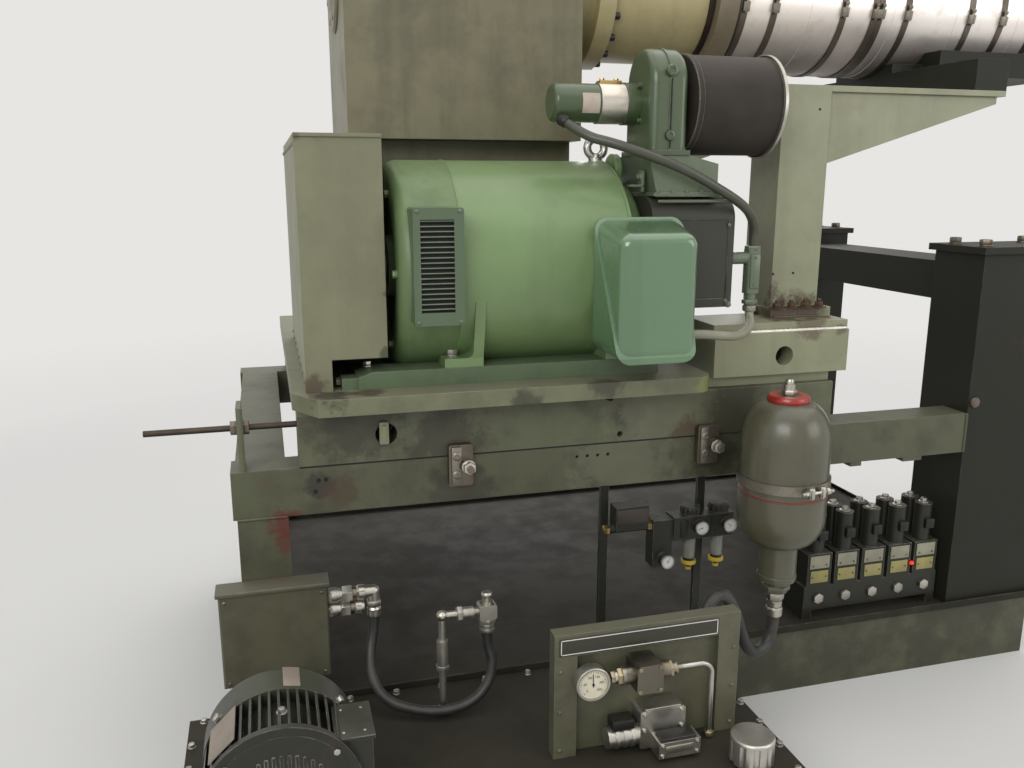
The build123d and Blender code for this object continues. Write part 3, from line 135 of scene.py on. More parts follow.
class Finish:
    # a material under construction
    def __init__(self, name):
        self.material = bpy.data.materials.new(name)
        self.material.use_nodes = True
        self.tree = self.material.node_tree
        self.tree.nodes.clear()
        self.shader = self.tree.nodes.new("ShaderNodeBsdfPrincipled")
        self.surface = self.tree.nodes.new("ShaderNodeOutputMaterial").inputs["Surface"]
        self.tree.links.new(self.shader.outputs[0], self.surface)
        self.coords = self.node("ShaderNodeTexCoord", output="Object")
        self.facing = self.node("ShaderNodeNewGeometry", output="Normal")

    def node(self, kind, settings=None, sockets=None, output=0):
        return addNode(self.tree, kind, settings, sockets, output)

    def noise(self, scale, detail=4.0, roughness=0.55, stretch=None, distortion=0.0):
        vector = self.coords
        if stretch:
            vector = self.node("ShaderNodeMapping", None, {"Vector": vector, "Scale": stretch})
        sockets = {
            "Vector": vector, "Scale": scale, "Detail": detail, "Roughness": roughness,
            "Distortion": distortion,
        }
        return self.node("ShaderNodeTexNoise", None, sockets)

    def rise(self, vector):
        # the z part of a place or a direction
        return self.node("ShaderNodeSeparateXYZ", None, {"Vector": vector}, output="Z")

    def vectorMath(self, operation, sockets):
        return self.node("ShaderNodeVectorMath", {"operation": operation}, sockets, output="Value")

    def blend(self, factor, first, second):
        settings = {"data_type": "RGBA", "clamp_result": True}
        sockets = {0: factor, 6: opaque(first), 7: opaque(second)}
        return self.node("ShaderNodeMix", settings, sockets, output=2)

    def rounded(self, radius):
        # the normal as if the outer edges were round
        return self.node("ShaderNodeBevel", {"samples": 4}, {"Radius": mm(radius)})

    def corners(self, rounded):
        # above 0 along the outer edges of a shape, 0 on its faces
        return 1 - self.vectorMath("DOT_PRODUCT", {0: rounded, 1: self.facing})

    def bump(self, height, distance, strength, normal=None):
        sockets = {"Height": height, "Distance": mm(distance), "Strength": strength, "Normal": normal}
        return self.node("ShaderNodeBump", None, sockets)

    def stained(self, tone, stains, ragged, level, softness):
        # patches round given places, their edges broken up by a texture
        for place, radius, color, strength in stains:
            apart = self.vectorMath("DISTANCE", {0: self.coords, 1: spot(*place)})
            patch = (1.15 - apart / mm(radius) + ragged).above(level, softness) * strength
            tone = self.blend(patch, tone, color)
        return tone

    def wear(self, **values):
        # links or values of the shader's own sockets
        for key, value in values.items():
            connect(self.tree, opaque(value), self.shader.inputs[key.replace("_", " ")])
        return self.material


rustColor = (0.115, 0.048, 0.022)
redRust = (0.090, 0.022, 0.014)
darkRust = (0.058, 0.030, 0.018)
oilColor = (0.022, 0.020, 0.014)
dustColor = (0.30, 0.275, 0.225)
bareSteel = (0.42, 0.40, 0.36)
motorGreen = (0.158, 0.240, 0.098)


def machinePaint(name, color, gloss, grime, rust, rubbed, dust, coat=0.0, oily=0.0, edge=2.2, streaks=0.5,
                 shine=0.5, stains=()):
    # enamel on steel: uneven tone, runs, oil smears, rubbed edges, chips and dust
    finish = Finish(name)
    broad = finish.noise(1.9, 5.0, 0.6)
    middle = finish.noise(9.0, 6.0, 0.65)
    fine = finish.noise(70.0, 4.0, 0.6)
    runs = finish.noise(7.0, 5.0, 0.6, stretch=(2.4, 2.4, 0.16))
    rounded = finish.rounded(edge)
    tone = finish.blend((broad * 0.7 + middle * 0.3).above(0.5, 0.5), shade(color, 0.80), shade(color, 1.14))
    tone = finish.blend(runs.above(0.60, 0.22) * streaks * 0.55, tone, shade(color, 0.55))
    smear = (middle * 0.6 + broad * 0.6).above(0.62, 0.16) * grime
    tone = finish.blend(smear * 0.7, tone, finish.blend(fine, oilColor, shade(color, 0.45)))
    if oily:
        low = finish.rise(finish.coords).below(0.62, 0.5) * oily
        tone = finish.blend(low * middle.above(0.42, 0.3) * 0.85, tone, oilColor)
    upward = finish.rise(finish.facing).above(0.75, 0.3)
    tone = finish.blend(upward * middle.above(0.45, 0.5) * dust * 0.7, tone, dustColor)
    scuffs = finish.noise(24.0, 5.0, 0.7)
    edgeMask = (finish.corners(rounded) * 9.0 * (scuffs * 1.3)).above(0.62, 0.35) * rubbed
    chips = finish.noise(46.0, 3.0, 0.5).above(0.735, 0.02) * broad.above(0.5, 0.2) * rust
    tone = finish.blend(edgeMask, tone, finish.blend(scuffs.above(0.5, 0.2), shade(color, 1.9), bareSteel))
    tone = finish.blend(chips, tone, rustColor)
    rusty = finish.noise(3.4, 7.0, 0.7, distortion=0.4).above(0.66, 0.10) * rust
    tone = finish.blend(rusty * 0.65, tone, rustColor)
    tone = finish.stained(tone, stains, (scuffs - 0.5) * 1.8, 0.5, 0.35)
    rough = gloss + smear * 0.12 + upward * dust * 0.25 + fine * 0.08 - 0.04 - edgeMask * 0.05
    height = fine * 0.35 + middle * 0.5 - chips * 2.0
    return finish.wear(
        Base_Color=tone, Roughness=rough, Metallic=edgeMask * 0.35,
        Normal=finish.bump(height, 0.5, 0.35, rounded), Coat_Weight=coat, Coat_Roughness=0.2,
        Specular_IOR_Level=shine,
    )


def plainSteel(name, color, rough, grime, rust, metallic=1.0, stains=()):
    # bare or plated steel with an oily film and a little rust
    finish = Finish(name)
    middle = finish.noise(11.0, 5.0, 0.6)
    fine = finish.noise(90.0, 3.0, 0.6)
    tone = finish.blend(middle.above(0.5, 0.5), shade(color, 0.78), shade(color, 1.15))
    film = finish.noise(5.0, 6.0, 0.65).above(0.55, 0.2) * grime
    tone = finish.blend(film * 0.8, tone, shade(oilColor, 1.6))
    rusty = finish.noise(17.0, 6.0, 0.7).above(0.62, 0.12) * rust
    tone = finish.blend(rusty, tone, rustColor)
    tone = finish.stained(tone, stains, (middle - 0.5) * 0.8, 0.3, 0.3)
    return finish.wear(
        Base_Color=tone, Roughness=rough + film * 0.3 + rusty * 0.4 + fine * 0.08,
        Metallic=metallic - rusty * 0.7 * metallic - film * 0.35 * metallic,
        Normal=finish.bump(fine * 0.3 + rusty, 0.25, 0.3, finish.rounded(1.2)),
    )


def softPlastic(name, color, rough, grime):
    # plastic, rubber, printed plates and plain coatings with a dusty film
    finish = Finish(name)
    middle = finish.noise(16.0, 5.0, 0.6)
    fine = finish.noise(140.0, 3.0, 0.6)
    tone = finish.blend(middle.above(0.5, 0.6), shade(color, 0.8), shade(color, 1.15))
    film = finish.noise(7.0, 5.0, 0.65).above(0.56, 0.2) * grime
    tone = finish.blend(film * 0.6, tone, shade(dustColor, 0.5))
    normal = finish.bump(fine, 0.2, 0.2, finish.rounded(1.0))
    return finish.wear(Base_Color=tone, Roughness=rough + film * 0.15 + fine * 0.06, Normal=normal)


def heatedSheet():
    # bright rolled sheet with straw tint, smudges and faint brushing round the barrel, and painted shade on
    # its downward faces
    finish = Finish("heated_sheet")
    broad = finish.noise(2.6, 5.0, 0.6)
    middle = finish.noise(12.0, 5.0, 0.65)
    brushing = finish.noise(42.0, 3.0, 0.6, stretch=(9.0, 0.6, 0.6))
    tone = finish.blend(broad.above(0.5, 0.4), (0.80, 0.72, 0.65), (0.90, 0.85, 0.81))
    tone = finish.blend(middle.above(0.64, 0.2) * 0.4, tone, (0.45, 0.35, 0.28))
    # downward faces darkened as painted shade under the barrel
    low = finish.rise(finish.facing).below(-0.62, 0.5)
    tone = finish.blend(low * 0.75, tone, (0.24, 0.19, 0.165))
    return finish.wear(
        Base_Color=tone, Roughness=0.3 + middle.above(0.55, 0.3) * 0.22 + brushing * 0.08, Metallic=0.62,
        Normal=finish.bump(brushing * 0.6 + broad * 1.5, 0.6, 0.35),
    )


def agedDrum():
    # dark brown filter drum with a fine grain and a worn rim
    finish = Finish("filter_drum")
    middle = finish.noise(9.0, 5.0, 0.6)
    fine = finish.noise(160.0, 3.0, 0.6)
    rounded = finish.rounded(2.5)
    tone = finish.blend(middle.above(0.5, 0.5), (0.018, 0.014, 0.011), (0.040, 0.032, 0.025))
    tone = finish.blend(finish.rise(finish.facing).above(0.6, 0.6) * 0.35, tone, (0.085, 0.07, 0.055))
    rim = (finish.corners(rounded) * 9.0 * (middle + 0.4)).above(0.5, 0.3) * 0.8
    tone = finish.blend(rim, tone, (0.42, 0.39, 0.33))
    return finish.wear(
        Base_Color=tone, Roughness=0.62 + middle * 0.12, Metallic=rim * 0.6,
        Normal=finish.bump(fine, 0.4, 0.4, rounded), Specular_IOR_Level=0.3,
    )


def clearBowl():
    # cloudy polycarbonate
    finish = Finish("filter_bowl")
    cloud = finish.noise(30.0, 4.0, 0.6)
    tone = finish.blend(cloud.above(0.5, 0.5), (0.34, 0.33, 0.27), (0.50, 0.49, 0.42))
    return finish.wear(Base_Color=tone, Roughness=0.12 + cloud * 0.1, Transmission_Weight=0.55, IOR=1.5)


def signalGlow():
    return Finish("signal_light").wear(
        Base_Color=(0.5, 0.01, 0.005), Roughness=0.2, Emission_Color=(1.0, 0.03, 0.01), Emission_Strength=1.6,
    )


# each stain's place, radius, colour and strength
stains = {
    "guard": [
        ((205, -664, 1030), 45, darkRust, 0.7), ((378, -664, 1102), 24, oilColor, 0.7),
        ((187, -664, 1604), 24, darkRust, 0.5), ((380, -664, 1245), 14, oilColor, 0.6),
    ],
    "base": [
        ((150, -748, 1008), 45, darkRust, 0.8), ((240, -700, 1017), 75, oilColor, 0.8),
        ((330, -690, 1017), 60, darkRust, 0.8), ((1196, -748, 1000), 60, (0.20, 0.21, 0.06), 0.6),
        ((700, -748, 980), 50, oilColor, 0.7), ((905, -748, 1016), 60, oilColor, 0.6),
    ],
    "carriage": [
        ((300, -640, 930), 150, shade(oilColor, 1.2), 0.6), ((520, -640, 870), 130, oilColor, 0.6),
        ((1010, -640, 900), 60, oilColor, 0.7), ((1330, -640, 880), 170, oilColor, 0.65),
        ((1120, -640, 905), 190, (0.150, 0.155, 0.092), 0.55), ((1180, -640, 835), 60, darkRust, 0.7),
    ],
    "rail": [
        ((126, -640, 690), 62, redRust, 0.9), ((118, -640, 640), 40, redRust, 0.7),
        ((206, -640, 780), 46, oilColor, 0.8), ((262, -640, 760), 60, darkRust, 0.6),
        ((1010, -640, 770), 200, (0.135, 0.138, 0.085), 0.5), ((560, -640, 730), 120, oilColor, 0.6),
        ((1280, -640, 770), 120, oilColor, 0.7), ((60, -640, 300), 90, oilColor, 0.6),
    ],
    "support": [
        ((1500, -560, 1153), 90, darkRust, 0.85), ((1600, -560, 1153), 80, darkRust, 0.85),
        ((1560, -630, 1128), 70, darkRust, 0.6), ((1492, -520, 1190), 30, darkRust, 0.5),
        ((1650, -640, 1100), 26, darkRust, 0.6),
    ],
    "pump": [((85, -1055, 500), 130, (0.048, 0.052, 0.034), 0.9)],
    "panelMetal": [
        ((893, -1070, 408), 72, (0.115, 0.098, 0.070), 0.85),
        ((950, -1060, 408), 40, (0.20, 0.16, 0.10), 0.6),
        ((935, -1060, 318), 40, (0.20, 0.19, 0.16), 0.7),
    ],
}

# name, colour, then gloss, grime, rust, rubbed edges and dust
paints = {
    "guard": ("guard_paint", (0.190, 0.190, 0.112), (0.5, 0.4, 0.3, 0.4, 0.3)),
    "base": ("base_paint", (0.158, 0.162, 0.092), (0.45, 0.6, 0.4, 0.7, 0.4)),
    "carriage": ("carriage_paint", (0.108, 0.114, 0.062), (0.42, 0.9, 0.4, 0.5, 0.3)),
    "rail": ("rail_paint", (0.086, 0.090, 0.048), (0.42, 0.9, 0.5, 0.55, 0.2)),
    "box": ("box_paint", (0.100, 0.097, 0.058), (0.45, 0.6, 0.4, 0.55, 0.3)),
    "support": ("support_paint", (0.255, 0.258, 0.158), (0.4, 0.35, 0.35, 0.55, 0.3)),
    # the columns' near-black colour is painted shade over a dark paint of unknown tone
    "column": ("column_paint", (0.016, 0.017, 0.011), (0.55, 0.4, 0.3, 0.3, 0.15)),
    "motor": ("motor_enamel", motorGreen, (0.34, 0.25, 0.08, 0.35, 0.08)),
    # the drive end is the motor's green made darker as painted shade
    "motorEnd": ("motor_end_enamel", shade(motorGreen, 0.88), (0.38, 0.5, 0.1, 0.3, 0.08)),
    "louvre": ("louvre_enamel", (0.082, 0.122, 0.066), (0.32, 0.3, 0.1, 0.75, 0.4)),
    "terminal": ("terminal_enamel", (0.096, 0.182, 0.090), (0.22, 0.12, 0.04, 0.25, 0.12)),
    "slide": ("slide_rail_paint", (0.098, 0.140, 0.072), (0.42, 0.6, 0.2, 0.5, 0.2)),
    "plenum": ("plenum_paint", (0.038, 0.038, 0.028), (0.45, 0.3, 0.15, 0.55, 0.25)),
    "adapter": ("adapter_paint", (0.112, 0.142, 0.085), (0.36, 0.3, 0.1, 0.6, 0.2)),
    "scroll": ("scroll_enamel", (0.056, 0.084, 0.036), (0.3, 0.3, 0.06, 0.45, 0.15)),
    "reducer": ("reducer_paint", (0.172, 0.156, 0.090), (0.42, 0.65, 0.25, 0.4, 0.3)),
    "feed": ("feed_paint", (0.440, 0.372, 0.195), (0.36, 0.35, 0.3, 0.5, 0.3)),
    "barrelBand": ("barrel_flange_paint", (0.190, 0.152, 0.100), (0.36, 0.5, 0.5, 0.6, 0.2)),
    "accumulator": ("accumulator_enamel", (0.092, 0.088, 0.054), (0.3, 0.4, 0.3, 0.35, 0.15)),
    "pump": ("pump_enamel", (0.022, 0.023, 0.016), (0.36, 0.6, 0.2, 0.75, 0.2)),
    "panel": ("panel_paint", (0.112, 0.110, 0.066), (0.4, 0.7, 0.25, 0.6, 0.3)),
    "tray": ("tray_paint", (0.040, 0.036, 0.026), (0.55, 1.0, 0.5, 0.4, 0.04)),
    "red": ("red_enamel", (0.34, 0.020, 0.012), (0.28, 0.35, 0.05, 0.4, 0.1)),
    "redTrace": ("faded_red", (0.150, 0.040, 0.028), (0.4, 0.4, 0.2, 0.4, 0.1)),
    "plate": ("bare_name_plate", (0.030, 0.028, 0.016), (0.3, 0.4, 0.05, 0.2, 0.1)),
    "black": ("black_paint", (0.012, 0.012, 0.010), (0.38, 0.3, 0.05, 0.3, 0.1)),
}
# name, colour, then roughness, grime and rust
steels = {
    "zinc": ("zinc_fittings", (0.50, 0.48, 0.42), (0.32, 0.55, 0.2)),
    "darkGroove": ("dark_groove_steel", (0.075, 0.060, 0.048), (0.45, 0.7, 0.4)),
    "zincBright": ("bright_sleeve", (0.66, 0.61, 0.53), (0.26, 0.45, 0.12)),
    "panelMetal": ("panel_fittings", (0.56, 0.54, 0.49), (0.3, 0.5, 0.12)),
    "agedZinc": ("aged_fittings", (0.27, 0.25, 0.205), (0.38, 0.8, 0.4)),
    "strap": ("strap_steel", (0.150, 0.128, 0.108), (0.42, 0.5, 0.3)),
    "weldBead": ("bare_weld", (0.62, 0.60, 0.53), (0.3, 0.3, 0.15)),
    "oilySteel": ("oily_steel", (0.20, 0.17, 0.135), (0.38, 0.6, 0.35)),
    "rusty": ("rusty_steel", (0.105, 0.060, 0.040), (0.6, 0.3, 0.8)),
    "polished": ("polished_steel", (0.72, 0.70, 0.66), (0.2, 0.2, 0.03)),
    "brass": ("brass_fittings", (0.45, 0.32, 0.13), (0.3, 0.35, 0.05)),
    "brassy": ("passivated_zinc", (0.42, 0.36, 0.23), (0.33, 0.6, 0.2)),
}
# name, colour, then roughness and grime
plastics = {
    # near-black finish that paints the shade in holes, gaps and openings
    "void": ("dark_void", (0.006, 0.006, 0.006), (0.8, 0.0)),
    "rubber": ("hose_rubber", (0.020, 0.020, 0.019), (0.42, 0.45)),
    "cable": ("cable_jacket", (0.052, 0.056, 0.038), (0.32, 0.25)),
    "label": ("bare_label", (0.230, 0.185, 0.145), (0.5, 0.9)),
    "paleLabel": ("pale_label", (0.46, 0.38, 0.31), (0.5, 0.6)),
    "cream": ("dial_cream", (0.62, 0.58, 0.44), (0.35, 0.25)),
    "white": ("dial_white", (0.66, 0.66, 0.62), (0.35, 0.2)),
    "yellow": ("yellow_ring", (0.50, 0.36, 0.03), (0.4, 0.3)),
    "paleYellow": ("valve_cover_yellow", (0.30, 0.26, 0.085), (0.5, 0.8)),
    "paleCover": ("valve_cover_cream", (0.27, 0.26, 0.185), (0.5, 0.8)),
    "brown": ("coil_cover", (0.045, 0.034, 0.024), (0.45, 0.4)),
    "conduit": ("conduit_jacket", (0.245, 0.235, 0.175), (0.42, 0.35)),
}
# what only some of them have
special = {
    "carriage": {"oily": 0.2}, "rail": {"oily": 0.5}, "box": {"oily": 0.3}, "column": {"shine": 0.25},
    "motor": {"coat": 0.2}, "louvre": {"coat": 0.2, "edge": 1.0}, "terminal": {"coat": 1.0, "edge": 3.0},
    "plenum": {"shine": 0.35}, "adapter": {"coat": 0.2}, "scroll": {"coat": 0.25},
    "reducer": {"streaks": 1.0}, "accumulator": {"coat": 0.25}, "pump": {"shine": 0.35},
    "tray": {"oily": 0.6, "shine": 0.12}, "red": {"coat": 0.3, "edge": 1.2}, "black": {"shine": 0.35},
    "rusty": {"metallic": 0.6},
}
for key, places in stains.items():
    special.setdefault(key, {})["stains"] = places

finishes = {"sheet": heatedSheet(), "drum": agedDrum(), "bowl": clearBowl(), "glowRed": signalGlow()}
for make, group in ((machinePaint, paints), (plainSteel, steels), (softPlastic, plastics)):
    for key, (name, color, wearing) in group.items():
        finishes[key] = make(name, color, *wearing, **special.get(key, {}))
print("materials ready,", len(finishes))

nodeFinishes = {
    "guard": ["belt_guard"],
    "base": ["base_plate"],
    "carriage": ["carriage_beam_front", "carriage_beam_back", "carriage_cross", "jack_bracket"],
    "rail": [
        "rail_front", "rail_back", "rail_cross", "leg_front", "leg_back", "skid_beam_front", "skid_beam_back",
        "skid_cross_left", "skid_cross_right",
    ],
    "tray": ["base_tray", "oil_tank"],
    "box": ["junction_box"],
    "panel": ["manifold_panel"],
    "support": ["support_front", "support_back"],
    "column": ["column_front", "column_back", "column_tie", "barrel_cradle"],
    "motor": ["motor_frame"],
    "motorEnd": ["motor_drive_end"],
    "louvre": ["louvre_cover"],
    "terminal": ["terminal_box"],
    "slide": ["motor_rails"],
    "plenum": ["blower_plenum"],
    "adapter": ["blower_adapter", "conduit_box"],
    "scroll": ["blower_scroll", "blower_motor"],
    "drum": ["blower_filter"],
    "reducer": ["reducer_pedestal", "reducer_housing", "reducer_cover"],
    "feed": ["feed_section"],
    "barrelBand": ["barrel_flange"],
    "sheet": ["barrel_shroud"],
    "strap": ["shroud_straps"],
    "oilySteel": ["clamp_block_left", "clamp_block_right", "barrel_end"],
    "polished": ["lifting_eye"],
    "accumulator": ["accumulator"],
    "zinc": ["junction_couplings", "tank_standpipe"],
    "agedZinc": ["accumulator_fittings"],
    "panelMetal": ["panel_fittings"],
    "darkGroove": ["jack_screw"],
    "pump": ["pump_motor", "valve_bank", "air_unit"],
}
for key, names in nodeFinishes.items():
    for name in names:
        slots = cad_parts[name].data.materials
        slots.clear()
        slots.append(finishes[key])


# pieces: a mesh is filled after startPiece, and becomes an object at the end of its stage
drafts = []


def startPiece(name, finish, slot, smooth=40):
    mesh = bmesh.new()
    drafts.append((mesh, name, finish, slot, smooth))
    return mesh


def endStage(stage):
    for mesh, name, finish, slot, smooth in drafts:
        data = bpy.data.meshes.new(name)
        bmesh.ops.recalc_face_normals(mesh, faces=mesh.faces[:])
        mesh.to_mesh(data)
        mesh.free()
        if smooth:
            data.shade_smooth()
            data.set_sharp_from_angle(angle=math.radians(smooth))
        piece = bpy.data.objects.new(name, data)
        bpy.context.scene.collection.objects.link(piece)
        data.materials.append(finishes[finish])
        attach(piece, "root")
    drafts.clear()
    print(stage, "done")


# shapes
def turned(place, direction):
    # stands local z along a direction at a place
    return Matrix.Translation(place) @ Vector(direction).to_track_quat("Z", "Y").to_matrix().to_4x4()


def at(x, y, z, direction):
    return turned(spot(x, y, z), direction)


def bevelEdges(mesh, edges, width):
    bmesh.ops.bevel(
        mesh, geom=edges, offset=mm(width), segments=2, profile=0.5, affect="EDGES", material=-1,
    )


def addRod(mesh, matrix, radius, low, high, segments=24, bevel=0.0):
    made = bmesh.ops.create_cone(
        mesh, cap_ends=True, cap_tris=False, segments=segments, radius1=mm(radius), radius2=mm(radius),
        depth=mm(high - low), matrix=matrix @ Matrix.Translation((0, 0, mm(low + high) / 2)),
    )
    if bevel:
        faces = {face for vert in made["verts"] for face in vert.link_faces if len(face.verts) == segments}
        bevelEdges(mesh, list({edge for face in faces for edge in face.edges}), bevel)


def addHex(mesh, matrix, flats, low, high, bevel=1.0):
    addRod(mesh, matrix, flats / math.sqrt(3), low, high, segments=6, bevel=bevel)


def addBox(mesh, low, high, bevel=0.0, matrix=None):
    size = [mm(b - a) for a, b in zip(low, high)]
    if matrix is None:
        matrix = Matrix.Translation((spot(*low) + spot(*high)) / 2)
    else:
        matrix = matrix @ Matrix.Translation([mm(a + b) / 2 for a, b in zip(low, high)])
    made = bmesh.ops.create_cube(mesh, size=1.0, matrix=matrix @ Matrix.Diagonal((*size, 1)))
    if bevel:
        bevelEdges(mesh, list({edge for vert in made["verts"] for edge in vert.link_edges}), bevel)


def addTurned(mesh, matrix, profile, segments=40, sweep=360):
    # a profile of radius and height spun about local z, with an end face on each end of a part turn
    before = set(mesh.verts)
    verts = [mesh.verts.new(matrix @ Vector((mm(radius), 0, mm(height)))) for radius, height in profile]
    pairs = list(zip(verts, verts[1:]))
    if profile[0][0] > 0:
        pairs.append((verts[-1], verts[0]))
    edges = [mesh.edges.new(pair) for pair in pairs]
    axis = (matrix.to_3x3() @ Vector((0, 0, 1))).normalized()
    spun = bmesh.ops.spin(
        mesh, geom=verts + edges, cent=matrix.translation, axis=axis, dvec=(0, 0, 0),
        angle=math.radians(sweep), steps=segments, use_merge=sweep == 360, use_duplicate=False,
    )
    if sweep < 360:
        last = [item for item in spun["geom_last"] if isinstance(item, bmesh.types.BMEdge)]
        for rim in (edges, last):
            bmesh.ops.contextual_create(mesh, geom=rim)
    made = [vert for vert in mesh.verts if vert not in before]
    bmesh.ops.remove_doubles(mesh, verts=made, dist=1e-6)


def addBolt(mesh, place, direction, flats, head, washer=1.35, stud=0.0):
    # hexagon head on its washer, or a nut with the stud's end through it
    matrix = turned(place, direction)
    low = 0.0
    if washer:
        low = flats * 0.12
        addRod(mesh, matrix, flats / 2 * washer, 0, low, segments=20, bevel=low * 0.3)
    turn = Matrix.Rotation(random.uniform(0, 1.0), 4, "Z")
    addHex(mesh, matrix @ turn, flats, low, low + head, bevel=flats * 0.06)
    if stud:
        addRod(mesh, matrix, flats * 0.29, low + head, low + head + stud, segments=12, bevel=flats * 0.04)


def addSocketScrew(mesh, place, direction, radius, head):
    profile = [(0, head * 0.35), (radius * 0.5, head * 0.35), (radius * 0.5, head), (radius * 0.86, head)]
    addTurned(mesh, turned(place, direction), profile + [(radius, head * 0.88), (radius, 0), (0, 0)], 14)


def addPanScrew(mesh, place, direction, radius, head):
    matrix = turned(place, direction)
    profile = [(0, head), (radius * 0.55, head * 0.92), (radius * 0.9, head * 0.55), (radius, 0), (0, 0)]
    addTurned(mesh, matrix, profile, 14)
    addBox(
        mesh, (-radius * 0.75, -radius * 0.12, head * 0.8), (radius * 0.75, radius * 0.12, head * 1.02),
        matrix=matrix @ Matrix.Rotation(random.uniform(0, 3.0), 4, "Z"),
    )


def addRows(add, mesh, xs, ys, zs, direction, *sizes, **more):
    # a fastener at each crossing of the given x, y and z
    for place in product(xs, ys, zs):
        add(mesh, spot(*place), direction, *sizes, **more)


def circlePlaces(count, radius, start=0.0):
    # offsets round a circle
    angles = [math.radians(start + 360 / count * number) for number in range(count)]
    return [(radius * math.cos(angle), radius * math.sin(angle)) for angle in angles]


def addCircle(add, mesh, center, count, radius, start, direction, *sizes, **more):
    # fasteners round a circle that faces along x
    x, y, z = center
    for across, rise in circlePlaces(count, radius, start):
        add(mesh, spot(x, y + across, z + rise), direction, *sizes, **more)


def addWeld(mesh, start, end, radius, pitch=5.0):
    # a rippled bead along a seam
    start = spot(*start)
    run = spot(*end) - start
    count = max(3, int(run.length / mm(pitch)))
    matrix = turned(start, run)
    ring = bmesh.ops.create_circle(mesh, cap_ends=True, segments=8, radius=mm(radius), matrix=matrix)["verts"]
    size = 1.0
    for number in range(count):
        edges = list({edge for vert in ring for edge in vert.link_edges if edge.other_vert(vert) in ring})
        grown = bmesh.ops.extrude_edge_only(mesh, edges=edges)
        ring = [item for item in grown["geom"] if isinstance(item, bmesh.types.BMVert)]
        middle = sum((vert.co for vert in ring), Vector()) / len(ring)
        target = (1.0 if number % 2 else 0.78) * random.uniform(0.9, 1.1)
        bmesh.ops.scale(mesh, vec=[target / size] * 3, space=Matrix.Translation(-middle), verts=ring)
        bmesh.ops.translate(mesh, vec=run / count, verts=ring)
        size = target
    bmesh.ops.contextual_create(mesh, geom=ring)


random.seed(11)

# frame: the seams run between two x and two z, and a bead has a radius and a pitch of its ripples
support = {
    "seams": [
        ((1488, 1668), 547, (1129, 1129), 4.0, 5.0), ((1494, 1640), 521, (1154, 1154), 3.5, 5.0),
        ((1643, 1643), 509, (1568, 1742), 3.5, 5.0), ((1646, 2200), 507, (1744, 1744), 3.0, 6.0),
    ],
    "postBolts": (1500, 1545, 1590, 1635), "boltReach": 543, "plateTop": 1153,
    "beamBolts": ((1476, 1128), (1660, 1153)), "beamBoltReach": 470,
}
mesh = startPiece("support_welds", "support", "light_paint", 50)
for side in sides:
    for (x0, x1), reach, (z0, z1), radius, pitch in support["seams"]:
        addWeld(mesh, (x0, side * reach, z0), (x1, side * reach, z1), radius, pitch)
mesh = startPiece("beam_weld", "weldBead", "light_paint", 50)
for side in sides:
    addWeld(mesh, (1262, side * 634, 1105), (1666, side * 634, 1105), 6.5, 7.0)
mesh = startPiece("post_bolts", "rusty", "worn_steel")
for side in sides:
    for x in support["postBolts"]:
        place = spot(x, side * support["boltReach"], support["plateTop"])
        addBolt(mesh, place, up, 21, 13, washer=2.0, stud=8)
    for x, z in support["beamBolts"]:
        addBolt(mesh, spot(x, side * support["beamBoltReach"], z), up, 19, 11, washer=1.7, stud=6)

# place, radius and segments of black discs that paint the shade inside holes
paintedShadeHoles = [
    (205, -639.5, 792, 5.5, 16), (222, -639.5, 793, 5.5, 16), (196, -639.5, 764, 5.5, 16),
    (373, -545, 897, 26.5, 32), (1472, -582, 1036, 26.5, 32),
    (1494.6, -519.8, 1248.5, 3.6, 12), (1558.8, -519.8, 1249.7, 3.6, 12), (1607.5, -519.8, 1698, 3.6, 12),
]
mesh = startPiece("holes_painted_shade", "void", "dark_paint", None)
for x, y, z, radius, segments in paintedShadeHoles:
    addRod(mesh, at(x, y, z, front), radius, 0, 1.0, segments)
# a black strip paints the shaded gap between the carriage and the rail
addBox(mesh, (161, -640.7, 825.8), (1633, -639.5, 829.6))

mesh = startPiece("beam_lug", "support", "light_paint")
addBox(mesh, (355, -650, 872), (379, -640.5, 930), 4.0)
addBox(mesh, (361, -652.5, 880), (373, -649, 922), 1.6)
mesh = startPiece("rail_tabs", "rail", "frame_paint")
for x0, x1 in ((1716, 1754), (1896, 1962)):
    addBox(mesh, (x0, -638, 694), (x1, -600, 708), 2.0)

frameSeams = {
    "front": -641,
    "runs": [
        ((11, 127), (707, 707), 4.0), ((11, 127), (210, 210), 4.0), ((35, 35), (829, 985), 2.5),
        ((2106, 2106), (709, 827), 4.0), ((9, 129), (208, 208), 4.0), ((2107, 2427), (208, 208), 4.0),
    ],
}
mesh = startPiece("frame_welds", "rail", "frame_paint", 50)
for (x0, x1), (z0, z1), radius in frameSeams["runs"]:
    addWeld(mesh, (x0, frameSeams["front"], z0), (x1, frameSeams["front"], z1), radius)

column = {
    "plug": (2127, -640, 861), "capTop": 1320, "bolts": ((2140, 600), (2394, 600), (2140, 480), (2394, 480)),
}
mesh = startPiece("column_bolts", "oilySteel", "worn_steel")
addTurned(
    mesh, at(*column["plug"], front), [(0, 9), (9.6, 9), (10.56, 7), (14.4, 7), (16, 4), (16, 0), (0, 0)], 40,
)
for x, reach in column["bolts"]:
    for side in sides:
        addBolt(mesh, spot(x, side * reach, column["capTop"]), up, 30, 16)

mesh = startPiece("guard_screws", "guard", "light_paint")
addRows(addPanScrew, mesh, (185,), range(-630, 130, 108), (1040, 1586), left, 6, 3.5)
addRows(addPanScrew, mesh, (200, 365), (148,), (1120, 1330, 1560), back, 6, 3.5)

